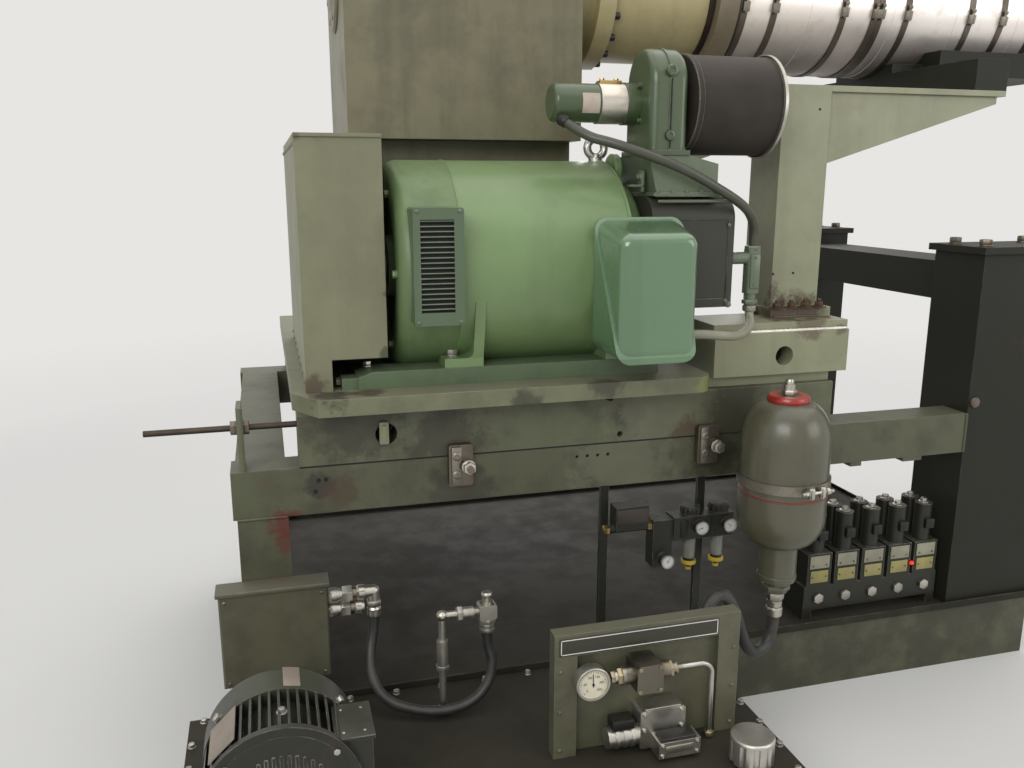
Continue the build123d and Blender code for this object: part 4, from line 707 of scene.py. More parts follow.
clamp = {"plates": (556, 1243), "plateFront": -666, "nuts": ((571.5, -676), (1258.5, -679)), "level": 806}
mesh = startPiece("clamp_plates", "agedZinc", "worn_steel")
for x in clamp["plates"]:
    addBox(mesh, (x - 25, clamp["plateFront"], 756), (x + 1, clamp["plateFront"] + 6, 856), 2.0)
    for z in (784, 832):
        matrix = at(x - 12, clamp["plateFront"], z, front)
        addTurned(mesh, matrix, [(4, 0), (10, 0), (11, 2), (9, 3.5), (5, 3.5), (4, 2)], 24)
mesh = startPiece("clamp_nuts", "zinc", "fitting_steel")
for x, y in clamp["nuts"]:
    matrix = at(x, y, clamp["level"], front)
    addRod(mesh, matrix, 18, 0, 3, segments=28, bevel=0.8)
    addHex(mesh, matrix, 29, 3, 19, bevel=1.8)
    for step in range(7):
        addTurned(mesh, matrix, [(7.6, 19.4 + step), (8.3, 19.9 + step), (7.6, 20.3 + step)], 16)
mesh = startPiece("jack_nuts", "oilySteel", "worn_steel")
for x, direction in ((9, left), (47, right)):
    addHex(mesh, at(x, -600, 928, direction), 30, -13.5, 3.0, bevel=1.6)
endStage("frame details")

# drive motor
motor = {"y": -434, "z": 1289, "feet": (-612, -256)}
louvre = {
    "x": 490.5, "low": 1206, "high": 1419, "count": 18, "tilt": -35,
    "screws": ((444, 1184), (544, 1184), (444, 1438), (544, 1438)), "front": -742,
}
# black sheets behind the louvre blades and under each blade are painted shade in the openings
mesh = startPiece("louvre_dark", "void", "dark_paint", None)
addBox(mesh, (451.5, -734.5, 1207), (529.5, -733.2, 1418.5))
bladePitch = (louvre["high"] - louvre["low"]) / louvre["count"]
for number in range(louvre["count"]):
    place = spot(louvre["x"], -736, louvre["low"] + bladePitch * (number + 0.5))
    blade = Matrix.Translation(place) @ Matrix.Rotation(math.radians(louvre["tilt"]), 4, "X")
    addBox(mesh, (-39, -4.9, -2.0), (39, 4.6, -1.55), matrix=blade)
mesh = startPiece("louvre_screws", "louvre", "motor_green")
for x, z in louvre["screws"]:
    addPanScrew(mesh, spot(x, louvre["front"], z), front, 5.5, 3.2)

mesh = startPiece("motor_bolts", "zinc", "fitting_steel")
addRows(addBolt, mesh, (547, 1007), motor["feet"], (1080,), up, 24, 14, washer=1.5, stud=9)
for y in motor["feet"]:
    addBolt(mesh, spot(270, y - 4, 1031), left, 19, 12, washer=0)
    addBolt(mesh, spot(338, y + 28, 1058), up, 19, 11)
mesh = startPiece("motor_trim", "motor", "motor_green")
addCircle(addBolt, mesh, (1050, motor["y"], motor["z"]), 8, 190.24, 22.5, right, 16, 9)
addCircle(addBolt, mesh, (409, motor["y"], motor["z"]), 6, 214, 0, left, 16, 9)
for x, profile in (
    (559, [(267.5, -2.5), (270, -1.5), (270, 1.5), (267.5, 2.5)]),
    (995, [(266, -10), (270.5, -9), (270.5, -2), (266, -0.5)]),
):
    addTurned(mesh, at(x, motor["y"], motor["z"], right), profile, 96)

mesh = startPiece("motor_ear", "motor", "motor_green")
profile = [(0, 0), (40, 0), (43, 3), (43, 17), (40, 20), (20, 20), (18, 16), (0, 16)]
addTurned(mesh, at(1000, -500, 1532, right), profile, 40)
addBox(mesh, (1000, -541, 1470), (1018, -459, 1530), 2.0)
addBolt(mesh, spot(1016, -500, 1532), right, 19, 10, washer=0)
mesh = startPiece("eye_bolt_ring", "polished", "fitting_steel")
ring = [(24 + across, rise) for across, rise in circlePlaces(14, 11)]
addTurned(mesh, at(985, motor["y"], 1592, front), ring, 40)
profile = [(0, 22), (12, 22), (14, 12), (19, 6), (19, 0), (0, 0)]
addTurned(mesh, at(985, motor["y"], 1550, up), profile, 28)
endStage("motor details")

# blower
blower = {"y": -560, "z": 1695, "bossFront": -675, "screwFront": -674}


def alongBlower(x):
    return at(x, blower["y"], blower["z"], right)


mesh = startPiece("blower_ring", "zincBright", "fitting_steel")
addTurned(mesh, alongBlower(934), [(48, 0), (50, 1.0), (50, 69), (48, 70)], 64)
mesh = startPiece("ring_clips", "brass", "fitting_steel")
addBox(mesh, (940, -576, 1740), (998, -544, 1750), 2.0)
for x in (950, 988):
    addHex(mesh, at(x, blower["y"], 1750, up), 11, 0, 6, bevel=0.8)
label = {"x": 884, "start": 154, "sweep": 60}
mesh = startPiece("blower_label", "paleLabel", "fitting_steel")
matrix = alongBlower(label["x"]) @ Matrix.Rotation(math.radians(label["start"]), 4, "Z")
addTurned(mesh, matrix, [(47.2, 0), (48.0, 0.3), (48.0, 45.7), (47.2, 46)], 14, label["sweep"])

mesh = startPiece("scroll_bosses", "scroll", "motor_green")
for z, profile in (
    (1766, [(0, 3), (6, 3), (7, 6), (13, 5), (15, 0), (0, 0)]),
    (1614, [(0, 3), (5, 3), (6, 6), (11, 5), (13, 0), (0, 0)]),
):
    addTurned(mesh, at(1088, blower["bossFront"], z, front), profile, 24)
addRows(addBolt, mesh, (1048, 1128), (-668, -508), (1579,), up, 10, 6)
addCircle(addBolt, mesh, (1038, blower["y"], blower["z"]), 4, 59.4, 45, left, 11, 7)
# a black strip paints the shade in the scroll's parting groove
mesh = startPiece("scroll_parting", "void", "dark_paint", None)
addBox(mesh, (1086.4, -676.2, 1584), (1089.6, -674.6, 1748))

mesh = startPiece("plenum_screws", "adapter", "fitting_steel")
addRows(addBolt, mesh, (1060, 1100, 1140, 1180, 1218), (-674.5,), (1476,), up, 8, 5)
addRows(addPanScrew, mesh, (1072, 1263), (blower["screwFront"],), (1200, 1395), front, 5, 3)
addPanScrew(mesh, spot(1168, blower["screwFront"], 1195), front, 5, 3)
addBolt(mesh, spot(1270, blower["screwFront"], 1190), front, 12, 7)
mesh = startPiece("plenum_strip", "adapter", "fitting_steel")
addBox(mesh, (1062, -674.8, 1452), (1274, -673.8, 1459), 0.4)
addBox(mesh, (1055, -675.2, 1466), (1232, -673.0, 1474), 0.6)

mesh = startPiece("filter_band", "drum", "filter_brown")
addTurned(mesh, alongBlower(1158), [(124, 0), (126.5, 1), (126.5, 15), (124, 16)], 96)
mesh = startPiece("filter_rim", "zinc", "strap_steel")
profile = [(128.5, -1), (131.2, 0), (131.2, 8.2), (127, 9.4), (124, 8.6), (124, 6)]
addTurned(mesh, alongBlower(1394), profile, 96)
addBolt(mesh, spot(1402, blower["y"], blower["z"]), right, 19, 10, washer=2.2, stud=6)

conduit = {"x": 1360, "y": -630, "end": (1099, -787, 1136)}
mesh = startPiece("conduit_cover", "adapter", "motor_green")
addBox(mesh, (1346, -651.5, 1226), (1374, -647, 1316), 2.4)
for z in (1234, 1308):
    addPanScrew(mesh, spot(conduit["x"], -651.5, z), front, 3.6, 2.4)
addHex(mesh, at(1285, conduit["y"], 1306, right), 44, 0, 7, bevel=2)
for z in (1326, 1183):
    addHex(mesh, at(conduit["x"], conduit["y"], z, up), 36, 0, 12, bevel=2)
mesh = startPiece("conduit_rings", "zinc", "fitting_steel")
profile = [(12, -6), (16.5, -6), (18, -3), (18, 8), (15, 10), (12, 10)]
addTurned(mesh, at(conduit["x"], conduit["y"], 1170, up), profile, 32)
addTurned(mesh, at(*conduit["end"], left), [(12, -10), (17, -10), (19, -6), (19, 4), (12, 4)], 32)
addHex(mesh, at(1093, -787, 1136, right), 42, -2, 8, bevel=2)
mesh = startPiece("cable_gland", "black", "dark_paint")
gland = {"place": (837, -597.6, 1650.4), "direction": (-0.56, 0.62, 0.42)}
profile = [(0, 12), (13, 12), (15.5, 8), (15.5, -10), (13, -14), (0, -14)]
addTurned(mesh, at(*gland["place"], gland["direction"]), profile, 32)
mesh = startPiece("adapter_brace", "adapter", "motor_green")
addBox(mesh, (1032, -640, 1478), (1040, -612, 1530), 2.0)
addBox(mesh, (1002, -640, 1490), (1040, -612, 1496), 2.0)
addBolt(mesh, spot(1032, -626, 1515), left, 12, 7)
endStage("blower details")

# reducer and barrel
axis = 2068
reducer = {
    "left": 345, "jointReach": 261, "jointBolts": (375, 455, 535, 615, 695, 775, 855, 935, 985),
    "footBolts": (400, 500, 600, 700, 800, 900, 985), "footTop": 1042,
}
mesh = startPiece("reducer_bolts", "oilySteel", "worn_steel")
for x in reducer["jointBolts"]:
    for side in sides:
        addBolt(mesh, spot(x, side * reducer["jointReach"], 2092), up, 18, 11, stud=5)
        addBolt(mesh, spot(x, side * reducer["jointReach"], 2044), down, 18, 11)
addRows(addBolt, mesh, reducer["footBolts"], (-136, 236), (reducer["footTop"],), up, 24, 14, stud=8)
addCircle(addBolt, mesh, (reducer["left"], 0, axis), 8, 120, 22.5, left, 18, 10)
mesh = startPiece("reducer_covers", "reducer", "light_paint")
profile = [(0, 14), (86, 14), (94, 10), (142, 10), (148, 4), (148, 0), (0, 0)]
addTurned(mesh, at(reducer["left"], 0, axis, left), profile, 64)
profile = [(36, 16), (52, 16), (56, 12), (78, 12), (82, 4), (82, 0), (36, 0)]
addTurned(mesh, at(385, -20, 1500, left), profile, 48)

barrel = {
    "feedLeft": 1126, "feedRight": 1426, "flange": 1476, "screwReach": 236, "shroudRadius": 218,
    "screws": (-62, -8, 62, 120, 180, 240), "clamps": (-14, 166),
    "straps": (1534, 1635, 1875, 1985, 2006, 2104, 2343, 2468, 2600, 2720, 2860),
    "laps": (1521, 1760, 2055, 2290, 2530, 2660, 2790),
}


def aroundBarrel(angle):
    # directions away from the axis and along the circle, the angle measured up from the front
    y = -math.cos(math.radians(angle))
    z = math.sin(math.radians(angle))
    return Vector((0, y, z)), Vector((0, z, -y))


mesh = startPiece("feed_screws", "black", "dark_paint")
addCircle(addSocketScrew, mesh, (barrel["feedLeft"], 0, axis), 20, 211, 9, right, 10.5, 17)
addCircle(addSocketScrew, mesh, (barrel["feedRight"], 0, axis), 16, 191.84, 0, right, 9, 14)
mesh = startPiece("flange_screws", "rusty", "worn_steel")
for angle in barrel["screws"]:
    radial, along = aroundBarrel(angle)
    addSocketScrew(mesh, spot(barrel["flange"], 0, axis) + radial * mm(barrel["screwReach"]), radial, 9, 4)
mesh = startPiece("strap_screws", "agedZinc", "fitting_steel")
for x, angle in product(barrel["straps"], barrel["clamps"]):
    radial, along = aroundBarrel(angle)
    place = spot(x, 0, axis) + radial * mm(barrel["shroudRadius"] + 4)
    matrix = Matrix.Translation(place) @ Matrix((right, tuple(along), tuple(radial))).transposed().to_4x4()
    addBox(mesh, (-11, -15, -0.5), (11, 13, 9), 2.0, matrix=matrix)
    screw = matrix @ Matrix.Translation((0, 0, mm(6))) @ Matrix.Rotation(math.radians(-90), 4, "X")
    addRod(mesh, screw, 4.2, -20, 22, segments=14, bevel=0.6)
    addHex(mesh, screw, 11, 20, 29, bevel=0.8)

mesh = startPiece("shroud_laps", "sheet", "stainless")
matrix = at(0, 0, axis, right)
for x in barrel["laps"]:
    addTurned(mesh, matrix, [(217.6, x), (219.0, x + 0.6), (219.0, x + 9), (217.6, x + 9.6)], 120)
mesh = startPiece("barrel_rings", "darkGroove", "worn_steel")
for low, high, radius in ((1427, 1443.5, 206), (1507.5, 1520.5, 227)):
    addTurned(mesh, matrix, [(radius - 30, low), (radius, low), (radius, high), (radius - 30, high)], 96)
mesh = startPiece("die_end_nuts", "oilySteel", "worn_steel")
addCircle(addBolt, mesh, (2959.5, 0, axis), 8, 115, 22.5, left, 19, 11, washer=1.3)
endStage("barrel details")


# dials
def addNumbers(mesh, matrix, radius, numbers):
    for place, text in enumerate(numbers):
        angle = math.radians(225 - 270 / (len(numbers) - 1) * place)
        letters = bpy.data.curves.new("digits", "FONT")
        letters.body = text
        letters.size = mm(radius * 0.2)
        letters.align_x = "CENTER"
        letters.align_y = "CENTER"
        letters.extrude = mm(0.15)
        holder = bpy.data.objects.new("digits", letters)
        shape = bpy.data.meshes.new_from_object(holder)
        offset = (mm(radius * 0.5 * math.cos(angle)), mm(radius * 0.5 * math.sin(angle)), mm(1.2))
        shape.transform(matrix @ Matrix.Translation(offset))
        mesh.from_mesh(shape)
        bpy.data.objects.remove(holder)
        bpy.data.meshes.remove(shape)
        bpy.data.curves.remove(letters)


def addDial(name, center, radius, needle, face, numbers=()):
    matrix = at(*center, front)
    mesh = startPiece(name + "_bezel", "zinc", "fitting_steel")
    rim = [(0.86, -1), (1.02, -1), (1.02, 3.0), (0.97, 4.4), (0.88, 4.0), (0.86, 1.0)]
    addTurned(mesh, matrix, [(radius * share, height) for share, height in rim], 48)
    mesh = startPiece(name + "_face", face, "fitting_steel", 30)
    addRod(mesh, matrix, radius * 0.87, 0.2, 1.0, segments=48)
    mesh = startPiece(name + "_marks", "black", "dark_paint", None)
    ticks = 26 if numbers else 12
    for number in range(ticks + 1):
        tick = matrix @ Matrix.Rotation(math.radians(225 - 270 / ticks * number), 4, "Z")
        inner = radius * (0.73 if number % 5 else 0.66)
        addBox(mesh, (inner, -radius * 0.012, 1.0), (radius * 0.8, radius * 0.012, 1.35), matrix=tick)
    pointer = matrix @ Matrix.Rotation(math.radians(needle), 4, "Z")
    addBox(mesh, (-radius * 0.16, -radius * 0.02, 1.8), (radius * 0.66, radius * 0.02, 2.3), matrix=pointer)
    addRod(mesh, matrix, radius * 0.075, 1.0, 2.8, segments=16)
    addNumbers(mesh, matrix, radius, numbers)


addDial("panel_gauge", (762, -1076, 405), 40, 92, "cream", ("0", "50", "100", "150", "200", "250"))
addDial("air_gauge_right", (1336, -638, 554), 20, 140, "white")
addDial("air_gauge_middle", (1248, -638, 555), 20, 200, "white")
addDial("air_gauge_left", (1147, -638, 465), 20, 60, "white")

# hydraulic panel
plate = {"x": (690, 1082), "z": (469, 511)}
x0, x1 = plate["x"]
z0, z1 = plate["z"]
mesh = startPiece("panel_plate", "plate", "dark_paint")
addBox(mesh, (x0, -1052, z0), (x1, -1050, z1), 0.6)
mesh = startPiece("panel_plate_border", "white", "fitting_steel", None)
for z in (z0 + 3, z1 - 4.5):
    addBox(mesh, (x0 + 3, -1052.6, z), (x1 - 3, -1051.8, z + 2.0))
for x in (x0 + 3, x1 - 4.6):
    addBox(mesh, (x, -1052.6, z0 + 3), (x + 2.0, -1051.8, z1 - 3))

relief = {"y": -1063, "z": 408}
mesh = startPiece("relief_nuts", "brassy", "fitting_steel")
addRows(addSocketScrew, mesh, (867, 917), (-1098,), (380, 436), front, 5, 3)
for x, flats, low, high, bevel in (
    (829, 34, -7, 7, 2), (952, 34, -7, 7, 2), (811, 24, -4, 10, 1.4), (962, 24, -4, 10, 1.4),
):
    addHex(mesh, at(x, relief["y"], relief["z"], right), flats, low, high, bevel=bevel)
addHex(mesh, at(1063, relief["y"], 212, up), 22, 2, 16, bevel=1.4)
mesh = startPiece("valve_screws", "zinc", "fitting_steel")
addRows(addSocketScrew, mesh, (888, 981), (-1082,), (270, 310), front, 5, 4)
addRows(addSocketScrew, mesh, (914, 1000), (-1128,), (229, 255), front, 4.5, 3)
addBox(mesh, (890, -1080, 318), (980, -1034, 322), 1.4)
addBox(mesh, (922, -1129, 234), (990, -1128, 252), 0.4)
mesh = startPiece("valve_covers", "black", "dark_paint")
addBox(mesh, (912, -1124, 262), (1000, -1086, 268), 2.0)
addBox(mesh, (812, -1078, 276), (866, -1040, 300), 3.0)
mesh = startPiece("panel_screws", "panel", "frame_paint")
addRows(addPanScrew, mesh, (693, 1125), (-1050,), (232, 330, 430), front, 5.5, 3.4)

tank = {"coverTop": 212, "cleanout": (330, 110)}
mesh = startPiece("tank_bolts", "zinc", "fitting_steel")
addRows(addBolt, mesh, range(-100, 1200, 118), (-1232, -684), (tank["coverTop"],), up, 14, 8)
for y in (-1140, -1050, -960, -870, -780):
    addRows(addBolt, mesh, (-122, 1207), (y,), (tank["coverTop"],), up, 14, 8)
mesh = startPiece("tank_cleanout", "rail", "frame_paint")
x, z = tank["cleanout"]
addTurned(mesh, at(x, -1230, z, front), [(0, 10), (70, 10), (74, 6), (74, 0), (0, 0)], 48)
for across, rise in circlePlaces(8, 60):
    addBolt(mesh, spot(x + across, -1240, z + rise), front, 10, 2, washer=0)
mesh = startPiece("level_glass", "zinc", "fitting_steel")
addBox(mesh, (1120, -1234, 50), (1150, -1230, 180), 1.5)
for z in (62, 168):
    addBolt(mesh, spot(1135, -1234, z), front, 12, 5, washer=0)

# pump motor
pump = {"x": 85, "z": 370, "boltAngles": (140, 40, 220, 320)}


def roundPump(angle, y, radius):
    direction = Vector((math.cos(math.radians(angle)), 0, math.sin(math.radians(angle))))
    return spot(pump["x"], y, pump["z"]) + direction * mm(radius), direction


mesh = startPiece("motor_labels", "label", "fitting_steel")
for angle, y, half, deep, thick in ((134, -1165, 34, 55, 2.4), (80, -1060, 17, 36, 2.0)):
    place, direction = roundPump(angle, y, 152)
    matrix = Matrix.Translation(place) @ Matrix.Rotation(math.radians(90 - angle), 4, "Y")
    addBox(mesh, (-half, -deep, 0), (half, deep, thick), 0.8, matrix=matrix)
mesh = startPiece("pump_bolts", "zinc", "fitting_steel")
for angle in pump["boltAngles"]:
    place, direction = roundPump(angle, -1090, 151)
    addBolt(mesh, place, direction, 15, 9)
    place, direction = roundPump(angle, -1238, 132)
    addBolt(mesh, place, front, 12, 4, washer=0)
addBolt(mesh, spot(pump["x"] + 5, -1180, pump["z"] + 148), up, 12, 8, washer=1.8)
addRows(addPanScrew, mesh, (202, 242), (-1208, -1130), (470,), up, 4, 3)
mesh = startPiece("pump_box_lid", "pump", "dark_paint")
addBox(mesh, (183, -1229, 462), (261, -1109, 472), 3.0)
grille = {"radius": 96, "pitch": 14, "bars": 6}
mesh = startPiece("fan_grille", "pump", "dark_paint")
profile = [(0, 3), (96, 3), (118, 1.6), (134, 0.4), (134, 0), (0, 0)]
addTurned(mesh, at(pump["x"], -1238, pump["z"], front), profile, 64)
for number in range(-grille["bars"], grille["bars"] + 1):
    across = number * grille["pitch"]
    half = math.sqrt(grille["radius"] ** 2 - across ** 2)
    x = pump["x"] + across
    addBox(mesh, (x - 3, -1243, pump["z"] - half), (x + 3, -1240, pump["z"] + half), 0.8)
endStage("hydraulic details")

# accumulator, its profiles from the floor up
shell = {"x": 1395, "y": -792, "clampAngle": -84, "clampLevel": 742}
matrix = at(shell["x"], shell["y"], 0, up)
mesh = startPiece("gas_cap_ring", "red", "fitting_steel")
addTurned(mesh, matrix, [(30, 949), (52, 949), (54, 952), (53.5, 960), (49, 966.8), (30, 966.8)], 56)
mesh = startPiece("gas_valve", "zinc", "fitting_steel")
addTurned(mesh, matrix, [(0, 1008), (9, 1008), (11, 1004), (11, 996), (15, 995), (15, 970), (0, 970)], 28)
addHex(mesh, matrix, 34, 968, 980, bevel=2)
mesh = startPiece("red_band", "redTrace", "accumulator_paint")
addTurned(mesh, matrix, [(113.5, 706), (115.2, 707), (115.2, 715), (113.5, 716)], 96)
mesh = startPiece("neck_rings", "accumulator", "accumulator_paint")
addTurned(mesh, matrix, [(49.5, 548), (52.5, 549), (52.5, 556), (49.5, 557)], 64)
addTurned(mesh, matrix, [(49.5, 462), (52, 463), (52, 472), (49.5, 473)], 64)
addHex(mesh, matrix, 66, 424, 440, bevel=3)
mesh = startPiece("hose_ferrule", "zinc", "fitting_steel")
ridges = [(22, 349), (23, 352), (22, 356), (23, 360), (22, 364), (23, 368), (20.5, 374)]
addTurned(mesh, matrix, [(12, 349), *ridges, (12, 374)], 36)
addHex(mesh, matrix, 42, 396, 418, bevel=2)
addTurned(mesh, matrix, [(12, 376), (20.5, 377), (20.5, 392), (12, 393)], 36)

mesh = startPiece("band_bolt", "zinc", "fitting_steel")
clampAngle = math.radians(shell["clampAngle"])
out = Vector((math.cos(clampAngle), math.sin(clampAngle), 0))
along = Vector((-out.y, out.x, 0))
clampAxis = spot(shell["x"], shell["y"], shell["clampLevel"])
for step in (-1, 1):
    place = clampAxis + out * mm(121) + along * mm(17 * step)
    box = Matrix.Translation(place) @ Matrix((tuple(out), tuple(along), up)).transposed().to_4x4()
    addBox(mesh, (-2, -5, -13), (20, 5, 13), 2.0, matrix=box)
bolt = clampAxis + out * mm(132)
addRod(mesh, turned(bolt, along), 4.5, -44, 52, segments=14, bevel=0.8)
for step in (-1, 1):
    addRod(mesh, turned(bolt + along * mm(17 * step), up), 7.5, -15, 15, segments=20, bevel=1.0)
addBolt(mesh, bolt + along * mm(27), along, 15, 12, washer=1.4)
addBolt(mesh, bolt - along * mm(27), -along, 13, 7, washer=1.4)

# junction box, its couplings and the standpipe
coupling = {"x": 209, "y": -670, "rows": ((500, 100), (462, 90))}
elbow = (324, -670, 436)
standpipe = {"x": 473, "y": -798}
stopValve = (586, -798, 423)
mesh = startPiece("junction_lid", "box", "frame_paint")
addBox(mesh, (-52, -706, 540), (215, -640, 551), 2.5)
mesh = startPiece("junction_screws", "oilySteel", "worn_steel")
addRows(addPanScrew, mesh, (-32, 195), (-700,), (314, 526), front, 5, 3)
nuts = startPiece("coupling_nuts", "zinc", "fitting_steel")
grooves = startPiece("coupling_grooves", "oilySteel", "fitting_steel")
for z, length in coupling["rows"]:
    matrix = at(coupling["x"], coupling["y"], z, right)
    addHex(nuts, matrix, 36, 1, 12, bevel=2)
    addHex(nuts, matrix, 38, length * 0.36, length * 0.62, bevel=2)
    addTurned(nuts, matrix, [(14, 14), (16.5, 15), (16.5, 30), (14, 31)], 28)
    addHex(nuts, matrix, 34, length * 0.72, length * 0.93, bevel=2)
    groove = [(14, 0.62), (16.2, 0.63), (16.2, 0.71), (14, 0.72)]
    addTurned(grooves, matrix, [(radius, length * share) for radius, share in groove], 28)
profile = [(11, -2), (17, -2), (18, 2), (17, 6), (18, 10), (17, 14), (18, 18), (15, 24)]
addTurned(nuts, at(*elbow, up), profile, 32)
addHex(nuts, at(elbow[0], elbow[1], 462, up), 34, 0, 14, bevel=2)
mesh = startPiece("standpipe_nuts", "zinc", "fitting_steel")
profile = [(11, -6), (16, -6), (18.6, -2), (18.6, 6), (17.6, 9), (18.6, 12), (18.6, 20), (15, 26)]
addTurned(mesh, at(*stopValve, up), profile, 32)
addHex(mesh, at(*stopValve, up), 38, 20, 32, bevel=2)
for z, flats in ((212, 32), (330, 30)):
    addHex(mesh, at(standpipe["x"], standpipe["y"], z, up), flats, 0, 14, bevel=2)
addHex(mesh, at(510, standpipe["y"], 474, right), 32, 0, 14, bevel=2)
profile = [(0, 4), (11, 4), (14, 0), (14, -6), (12, -9), (0, -9)]
addTurned(mesh, at(stopValve[0], stopValve[1], 519, up), profile, 24)
endStage("couplings")

# air unit
air = {"y": -594, "bowls": (1233, 1320), "top": 586, "nuts": 562, "outlet": 552}
bowls = startPiece("air_bowls", "bowl", "fitting_steel")
rings = startPiece("bowl_rings", "yellow", "fitting_steel")
knobs = startPiece("air_knobs", "black", "dark_paint")
for x in air["bowls"]:
    matrix = at(x, air["y"], 0, up)
    profile = [(0, 448), (12, 448), (17.6, 454), (18.2, 470), (18.2, 508), (16, 516), (0, 516)]
    addTurned(bowls, matrix, profile, 36)
    addTurned(rings, matrix, [(16, 434), (21.6, 435), (22, 438), (22, 442), (21, 445.5), (16, 446)], 36)
    addTurned(rings, matrix, [(6, 416), (9, 416), (9, 424), (6, 424)], 20)
    profile = [(0, 25), (20, 25), (26.5, 19), (27, 3), (24, 0), (0, 0)]
    addTurned(knobs, at(x, air["y"], air["top"], up), profile, 28)
    for across, deep in circlePlaces(12, 27):
        addRod(knobs, at(x + across, air["y"] + deep, air["top"], up), 2.4, 3, 18, segments=8)
for x0, x1 in ((1190, 1214), (1274, 1290)):
    addBox(knobs, (x0, -625, 526), (x1, -620, 578), 2.0)
mesh = startPiece("air_nuts", "brass", "fitting_steel")
for x, flats, low, high in ((980, 26, -4, 10), (1108, 26, -4, 10), (1111, 28, -3, 6)):
    addHex(mesh, at(x, air["y"], air["nuts"], left), flats, low, high, bevel=1.4)
addHex(mesh, at(1355, air["y"], air["outlet"], right), 22, 0, 9, bevel=1.4)
mesh = startPiece("solenoid_plate", "brown", "worn_steel")
addBox(mesh, (1000, -620, 582), (1092, -617, 624), 1.2)
mesh = startPiece("strut_bolts", "zinc", "fitting_steel")
addRows(addBolt, mesh, (982, 1278), (-566,), (230, 690), front, 11, 6)

# valve bank
bank = {"left": 1613, "pitch": 94, "count": 5, "front": -612, "plateFront": -614.5, "coilTop": 536}
plates = startPiece("valve_plates", "paleCover", "fitting_steel")
lowPlates = startPiece("valve_plates_lower", "paleYellow", "fitting_steel")
heads = startPiece("valve_plate_screws", "oilySteel", "worn_steel")
caps = startPiece("coil_caps", "zinc", "fitting_steel")
plugs = startPiece("coil_plugs", "black", "dark_paint")
for number in range(bank["count"]):
    middle = bank["left"] + bank["pitch"] * (number + 0.5)
    addBox(plates, (middle - 34, bank["plateFront"], 372), (middle + 32, bank["front"], 412), 0.8)
    addBox(lowPlates, (middle - 30, bank["plateFront"], 326), (middle + 30, bank["front"], 364), 0.8)
    addRows(
        addPanScrew, heads, (middle - 24, middle + 22), (bank["plateFront"],), (345, 382), front, 3.4, 2.2,
    )
    for coil, y0, y1 in ((-582, -622, -608), (-522, -496, -482)):
        matrix = at(middle, coil, bank["coilTop"], up)
        addTurned(caps, matrix, [(0, 5), (12, 5), (16, 2), (16, -6), (0, -6)], 24)
        addHex(caps, matrix, 18, 4, 13, bevel=1.2)
        addBox(plugs, (middle - 15, y0, 462), (middle + 15, y1, 492), 3.0)
    addHex(caps, at(middle, bank["front"], 276, front), 30, 0, 10, bevel=1.6)
mesh = startPiece("signal_light", "glowRed", "dark_paint")
addTurned(mesh, at(1986, -616, 352, front), [(0, 5), (4, 4), (6, 1), (6, -2), (0, -2)], 20)
endStage("air unit and valve bank")

# hoses and cables, along the same points as the solids: the points of a hose are steps from its start
routes = {
    "accumulator_hose": {
        "diameter": 32, "finish": "rubber", "slot": "hose_rubber", "start": (1395, -792, 350),
        "steps": [
            (0, 0, 0), (0, 0, -42), (-22, -10, -88), (-76, -28, -96), (-122, -52, -30), (-160, -76, 60),
            (-212, -100, 142), (-268, -120, 128), (-290, -138, 72), (-288, -196, 40), (-288, -222, 40),
        ],
    },
    "loop_hose": {
        "diameter": 25, "finish": "rubber", "slot": "hose_rubber", "start": elbow,
        "steps": [
            (0, 0, 0), (-3, -3, -42), (-17, -22, -92), (-19, -66, -142), (8, -110, -180), (70, -142, -196),
            (146, -160, -202), (218, -160, -188), (262, -152, -146), (274, -140, -90), (262, -128, -55),
            (262, -128, -13),
        ],
    },
    "blower_cable": {
        "diameter": 24, "finish": "cable", "slot": "hose_rubber", "start": (0, 0, 0),
        "steps": [
            (837, -597.6, 1650.35), (875, -646, 1611), (935, -678, 1595), (1009, -706, 1569),
            (1099, -718, 1537), (1183, -712, 1499), (1292, -692, 1446), (1342, -656, 1406),
            (1360, -630, 1364), (1360, -630, 1330),
        ],
    },
    "flexible_conduit": {
        "diameter": 23, "finish": "conduit", "slot": "conduit_plastic", "start": (0, 0, 0),
        "steps": [
            (1360, -630, 1178), (1360, -630, 1154), (1348, -664, 1134), (1306, -712, 1120),
            (1248, -764, 1120), (1184, -802, 1132), (1138, -787, 1136), (1099.5, -787, 1136),
        ],
    },
}


def addCord(name, settings, places):
    curve = bpy.data.curves.new(name, "CURVE")
    curve.dimensions = "3D"
    curve.bevel_depth = mm(settings["diameter"]) / 2
    curve.bevel_resolution = 4
    curve.resolution_u = 10
    curve.use_fill_caps = True
    spline = curve.splines.new("NURBS")
    spline.points.add(len(places) - 1)
    for point, place in zip(spline.points, places):
        point.co = (*place, 1.0)
    spline.order_u = 3
    spline.use_endpoint_u = True
    cord = bpy.data.objects.new(name + "_run", curve)
    bpy.context.scene.collection.objects.link(cord)
    curve.materials.append(finishes[settings["finish"]])
    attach(cord, "root")
    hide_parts(name)
    return cord


def curveLength(cord):
    bare = cord.data.copy()
    bare.bevel_depth = 0
    holder = bpy.data.objects.new("measure", bare)
    line = bpy.data.meshes.new_from_object(holder)
    points = [vertex.co.copy() for vertex in line.vertices]
    bpy.data.objects.remove(holder)
    return sum((b - a).length for a, b in zip(points, points[1:]))


for name, settings in routes.items():
    places = [spot(*(a + b for a, b in zip(settings["start"], step))) for step in settings["steps"]]
    cord = addCord(name, settings, places)
    length = curveLength(cord)
    print(name, "length", round(length, 4))
    mm(settings["diameter"])

# studio
studio = {
    "floor": (0.62, 0.61, 0.59), "nearGlow": (0.70, 0.69, 0.675), "background": (0.80, 0.79, 0.77),
    "fillColor": (0.93, 0.96, 1.0), "fill": 0.55,
}


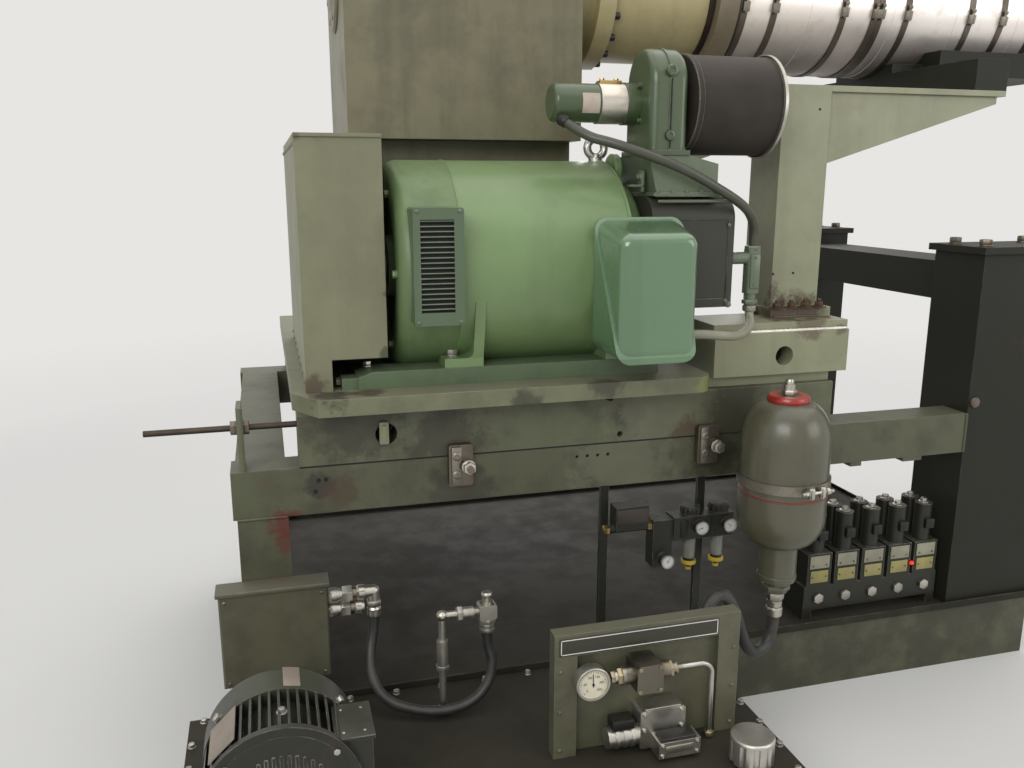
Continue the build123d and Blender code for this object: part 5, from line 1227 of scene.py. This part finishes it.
def backdropRays(tree):
    # 1 for the rays that show the plain backdrop, 0 for those that light the machine
    node = tree.nodes.new("ShaderNodeLightPath")
    rays = Wire(tree, node.outputs["Is Camera Ray"]) + Wire(tree, node.outputs["Is Glossy Ray"])
    return (rays + Wire(tree, node.outputs["Is Transmission Ray"])).clamped()


floorMesh = bmesh.new()
bmesh.ops.create_grid(floorMesh, x_segments=1, y_segments=1, size=14)
floorData = bpy.data.meshes.new("studio_floor")
floorMesh.to_mesh(floorData)
floorMesh.free()
floor = bpy.data.objects.new("studio_floor", floorData)
bpy.context.scene.collection.objects.link(floor)
floorFinish = Finish("studio_floor")
darker, paler = (shade(studio["floor"], factor) for factor in (0.97, 1.03))
tone = floorFinish.blend(floorFinish.noise(0.6, 3.0), darker, paler)
floorFinish.wear(Base_Color=tone, Roughness=0.85)
reach = floorFinish.vectorMath("LENGTH", {0: floorFinish.coords})
glowColor = floorFinish.blend(reach.above(5.0, 5.0), studio["nearGlow"], studio["background"])
glow = floorFinish.node("ShaderNodeEmission", None, {"Color": glowColor})
matt = Wire(floorFinish.tree, floorFinish.shader.outputs[0])
faded = reach.above(3.5, 2.6) * backdropRays(floorFinish.tree)
fade = floorFinish.node("ShaderNodeMixShader", None, {0: faded, 1: matt, 2: glow})
connect(floorFinish.tree, fade, floorFinish.surface)
floorData.materials.append(floorFinish.material)

world = bpy.data.worlds.new("studio")
bpy.context.scene.world = world
world.use_nodes = True
tree = world.node_tree
tree.nodes.clear()
lit = addNode(
    tree, "ShaderNodeBackground", None, {"Color": opaque(studio["fillColor"]), "Strength": studio["fill"]},
)
seen = addNode(tree, "ShaderNodeBackground", None, {"Color": opaque(studio["background"])})
swap = addNode(tree, "ShaderNodeMixShader", None, {0: backdropRays(tree), 1: lit, 2: seen})
connect(tree, swap, tree.nodes.new("ShaderNodeOutputWorld").inputs["Surface"])


def addLamp(name, place, target, size, power, color=(1.0, 1.0, 1.0)):
    lamp = bpy.data.lights.new(name, "AREA")
    lamp.shape = "RECTANGLE"
    lamp.size, lamp.size_y = size
    lamp.energy = power
    lamp.color = color
    holder = bpy.data.objects.new(name, lamp)
    bpy.context.scene.collection.objects.link(holder)
    holder.location = place
    holder.rotation_euler = (Vector(target) - Vector(place)).to_track_quat("-Z", "Y").to_euler()


addLamp("ceiling", (0.4, 0.2, 5.4), (0.3, 0.0, 1.2), (9.0, 8.0), 235, (1.0, 0.985, 0.95))
addLamp("front_left", (-3.6, -4.6, 3.6), (0.2, 0.0, 1.2), (3.4, 2.4), 150)
addLamp("front_right", (3.8, -4.2, 2.6), (0.2, 0.0, 1.0), (3.0, 2.4), 60)
addLamp("behind", (1.5, 5.0, 3.4), (0.0, 0.2, 1.2), (4.0, 2.4), 90)

# the photograph's camera: its focal length and picture width in pixels, and its angles in degrees
view = {"focal": 887, "width": 1024, "sensor": 36, "down": 12.77, "right": 15.5, "place": (109, -2750, 1500)}
camera = bpy.data.cameras.new("camera")
camera.sensor_width = view["sensor"]
camera.lens = view["focal"] / view["width"] * view["sensor"]
camera.clip_end = 60
viewer = bpy.data.objects.new("camera", camera)
bpy.context.scene.collection.objects.link(viewer)
viewer.location = spot(*view["place"])
viewer.rotation_euler = (math.radians(90 - view["down"]), 0, math.radians(-view["right"]))
bpy.context.scene.camera = viewer
bpy.context.scene.view_settings.view_transform = "Standard"

print("scene finished")
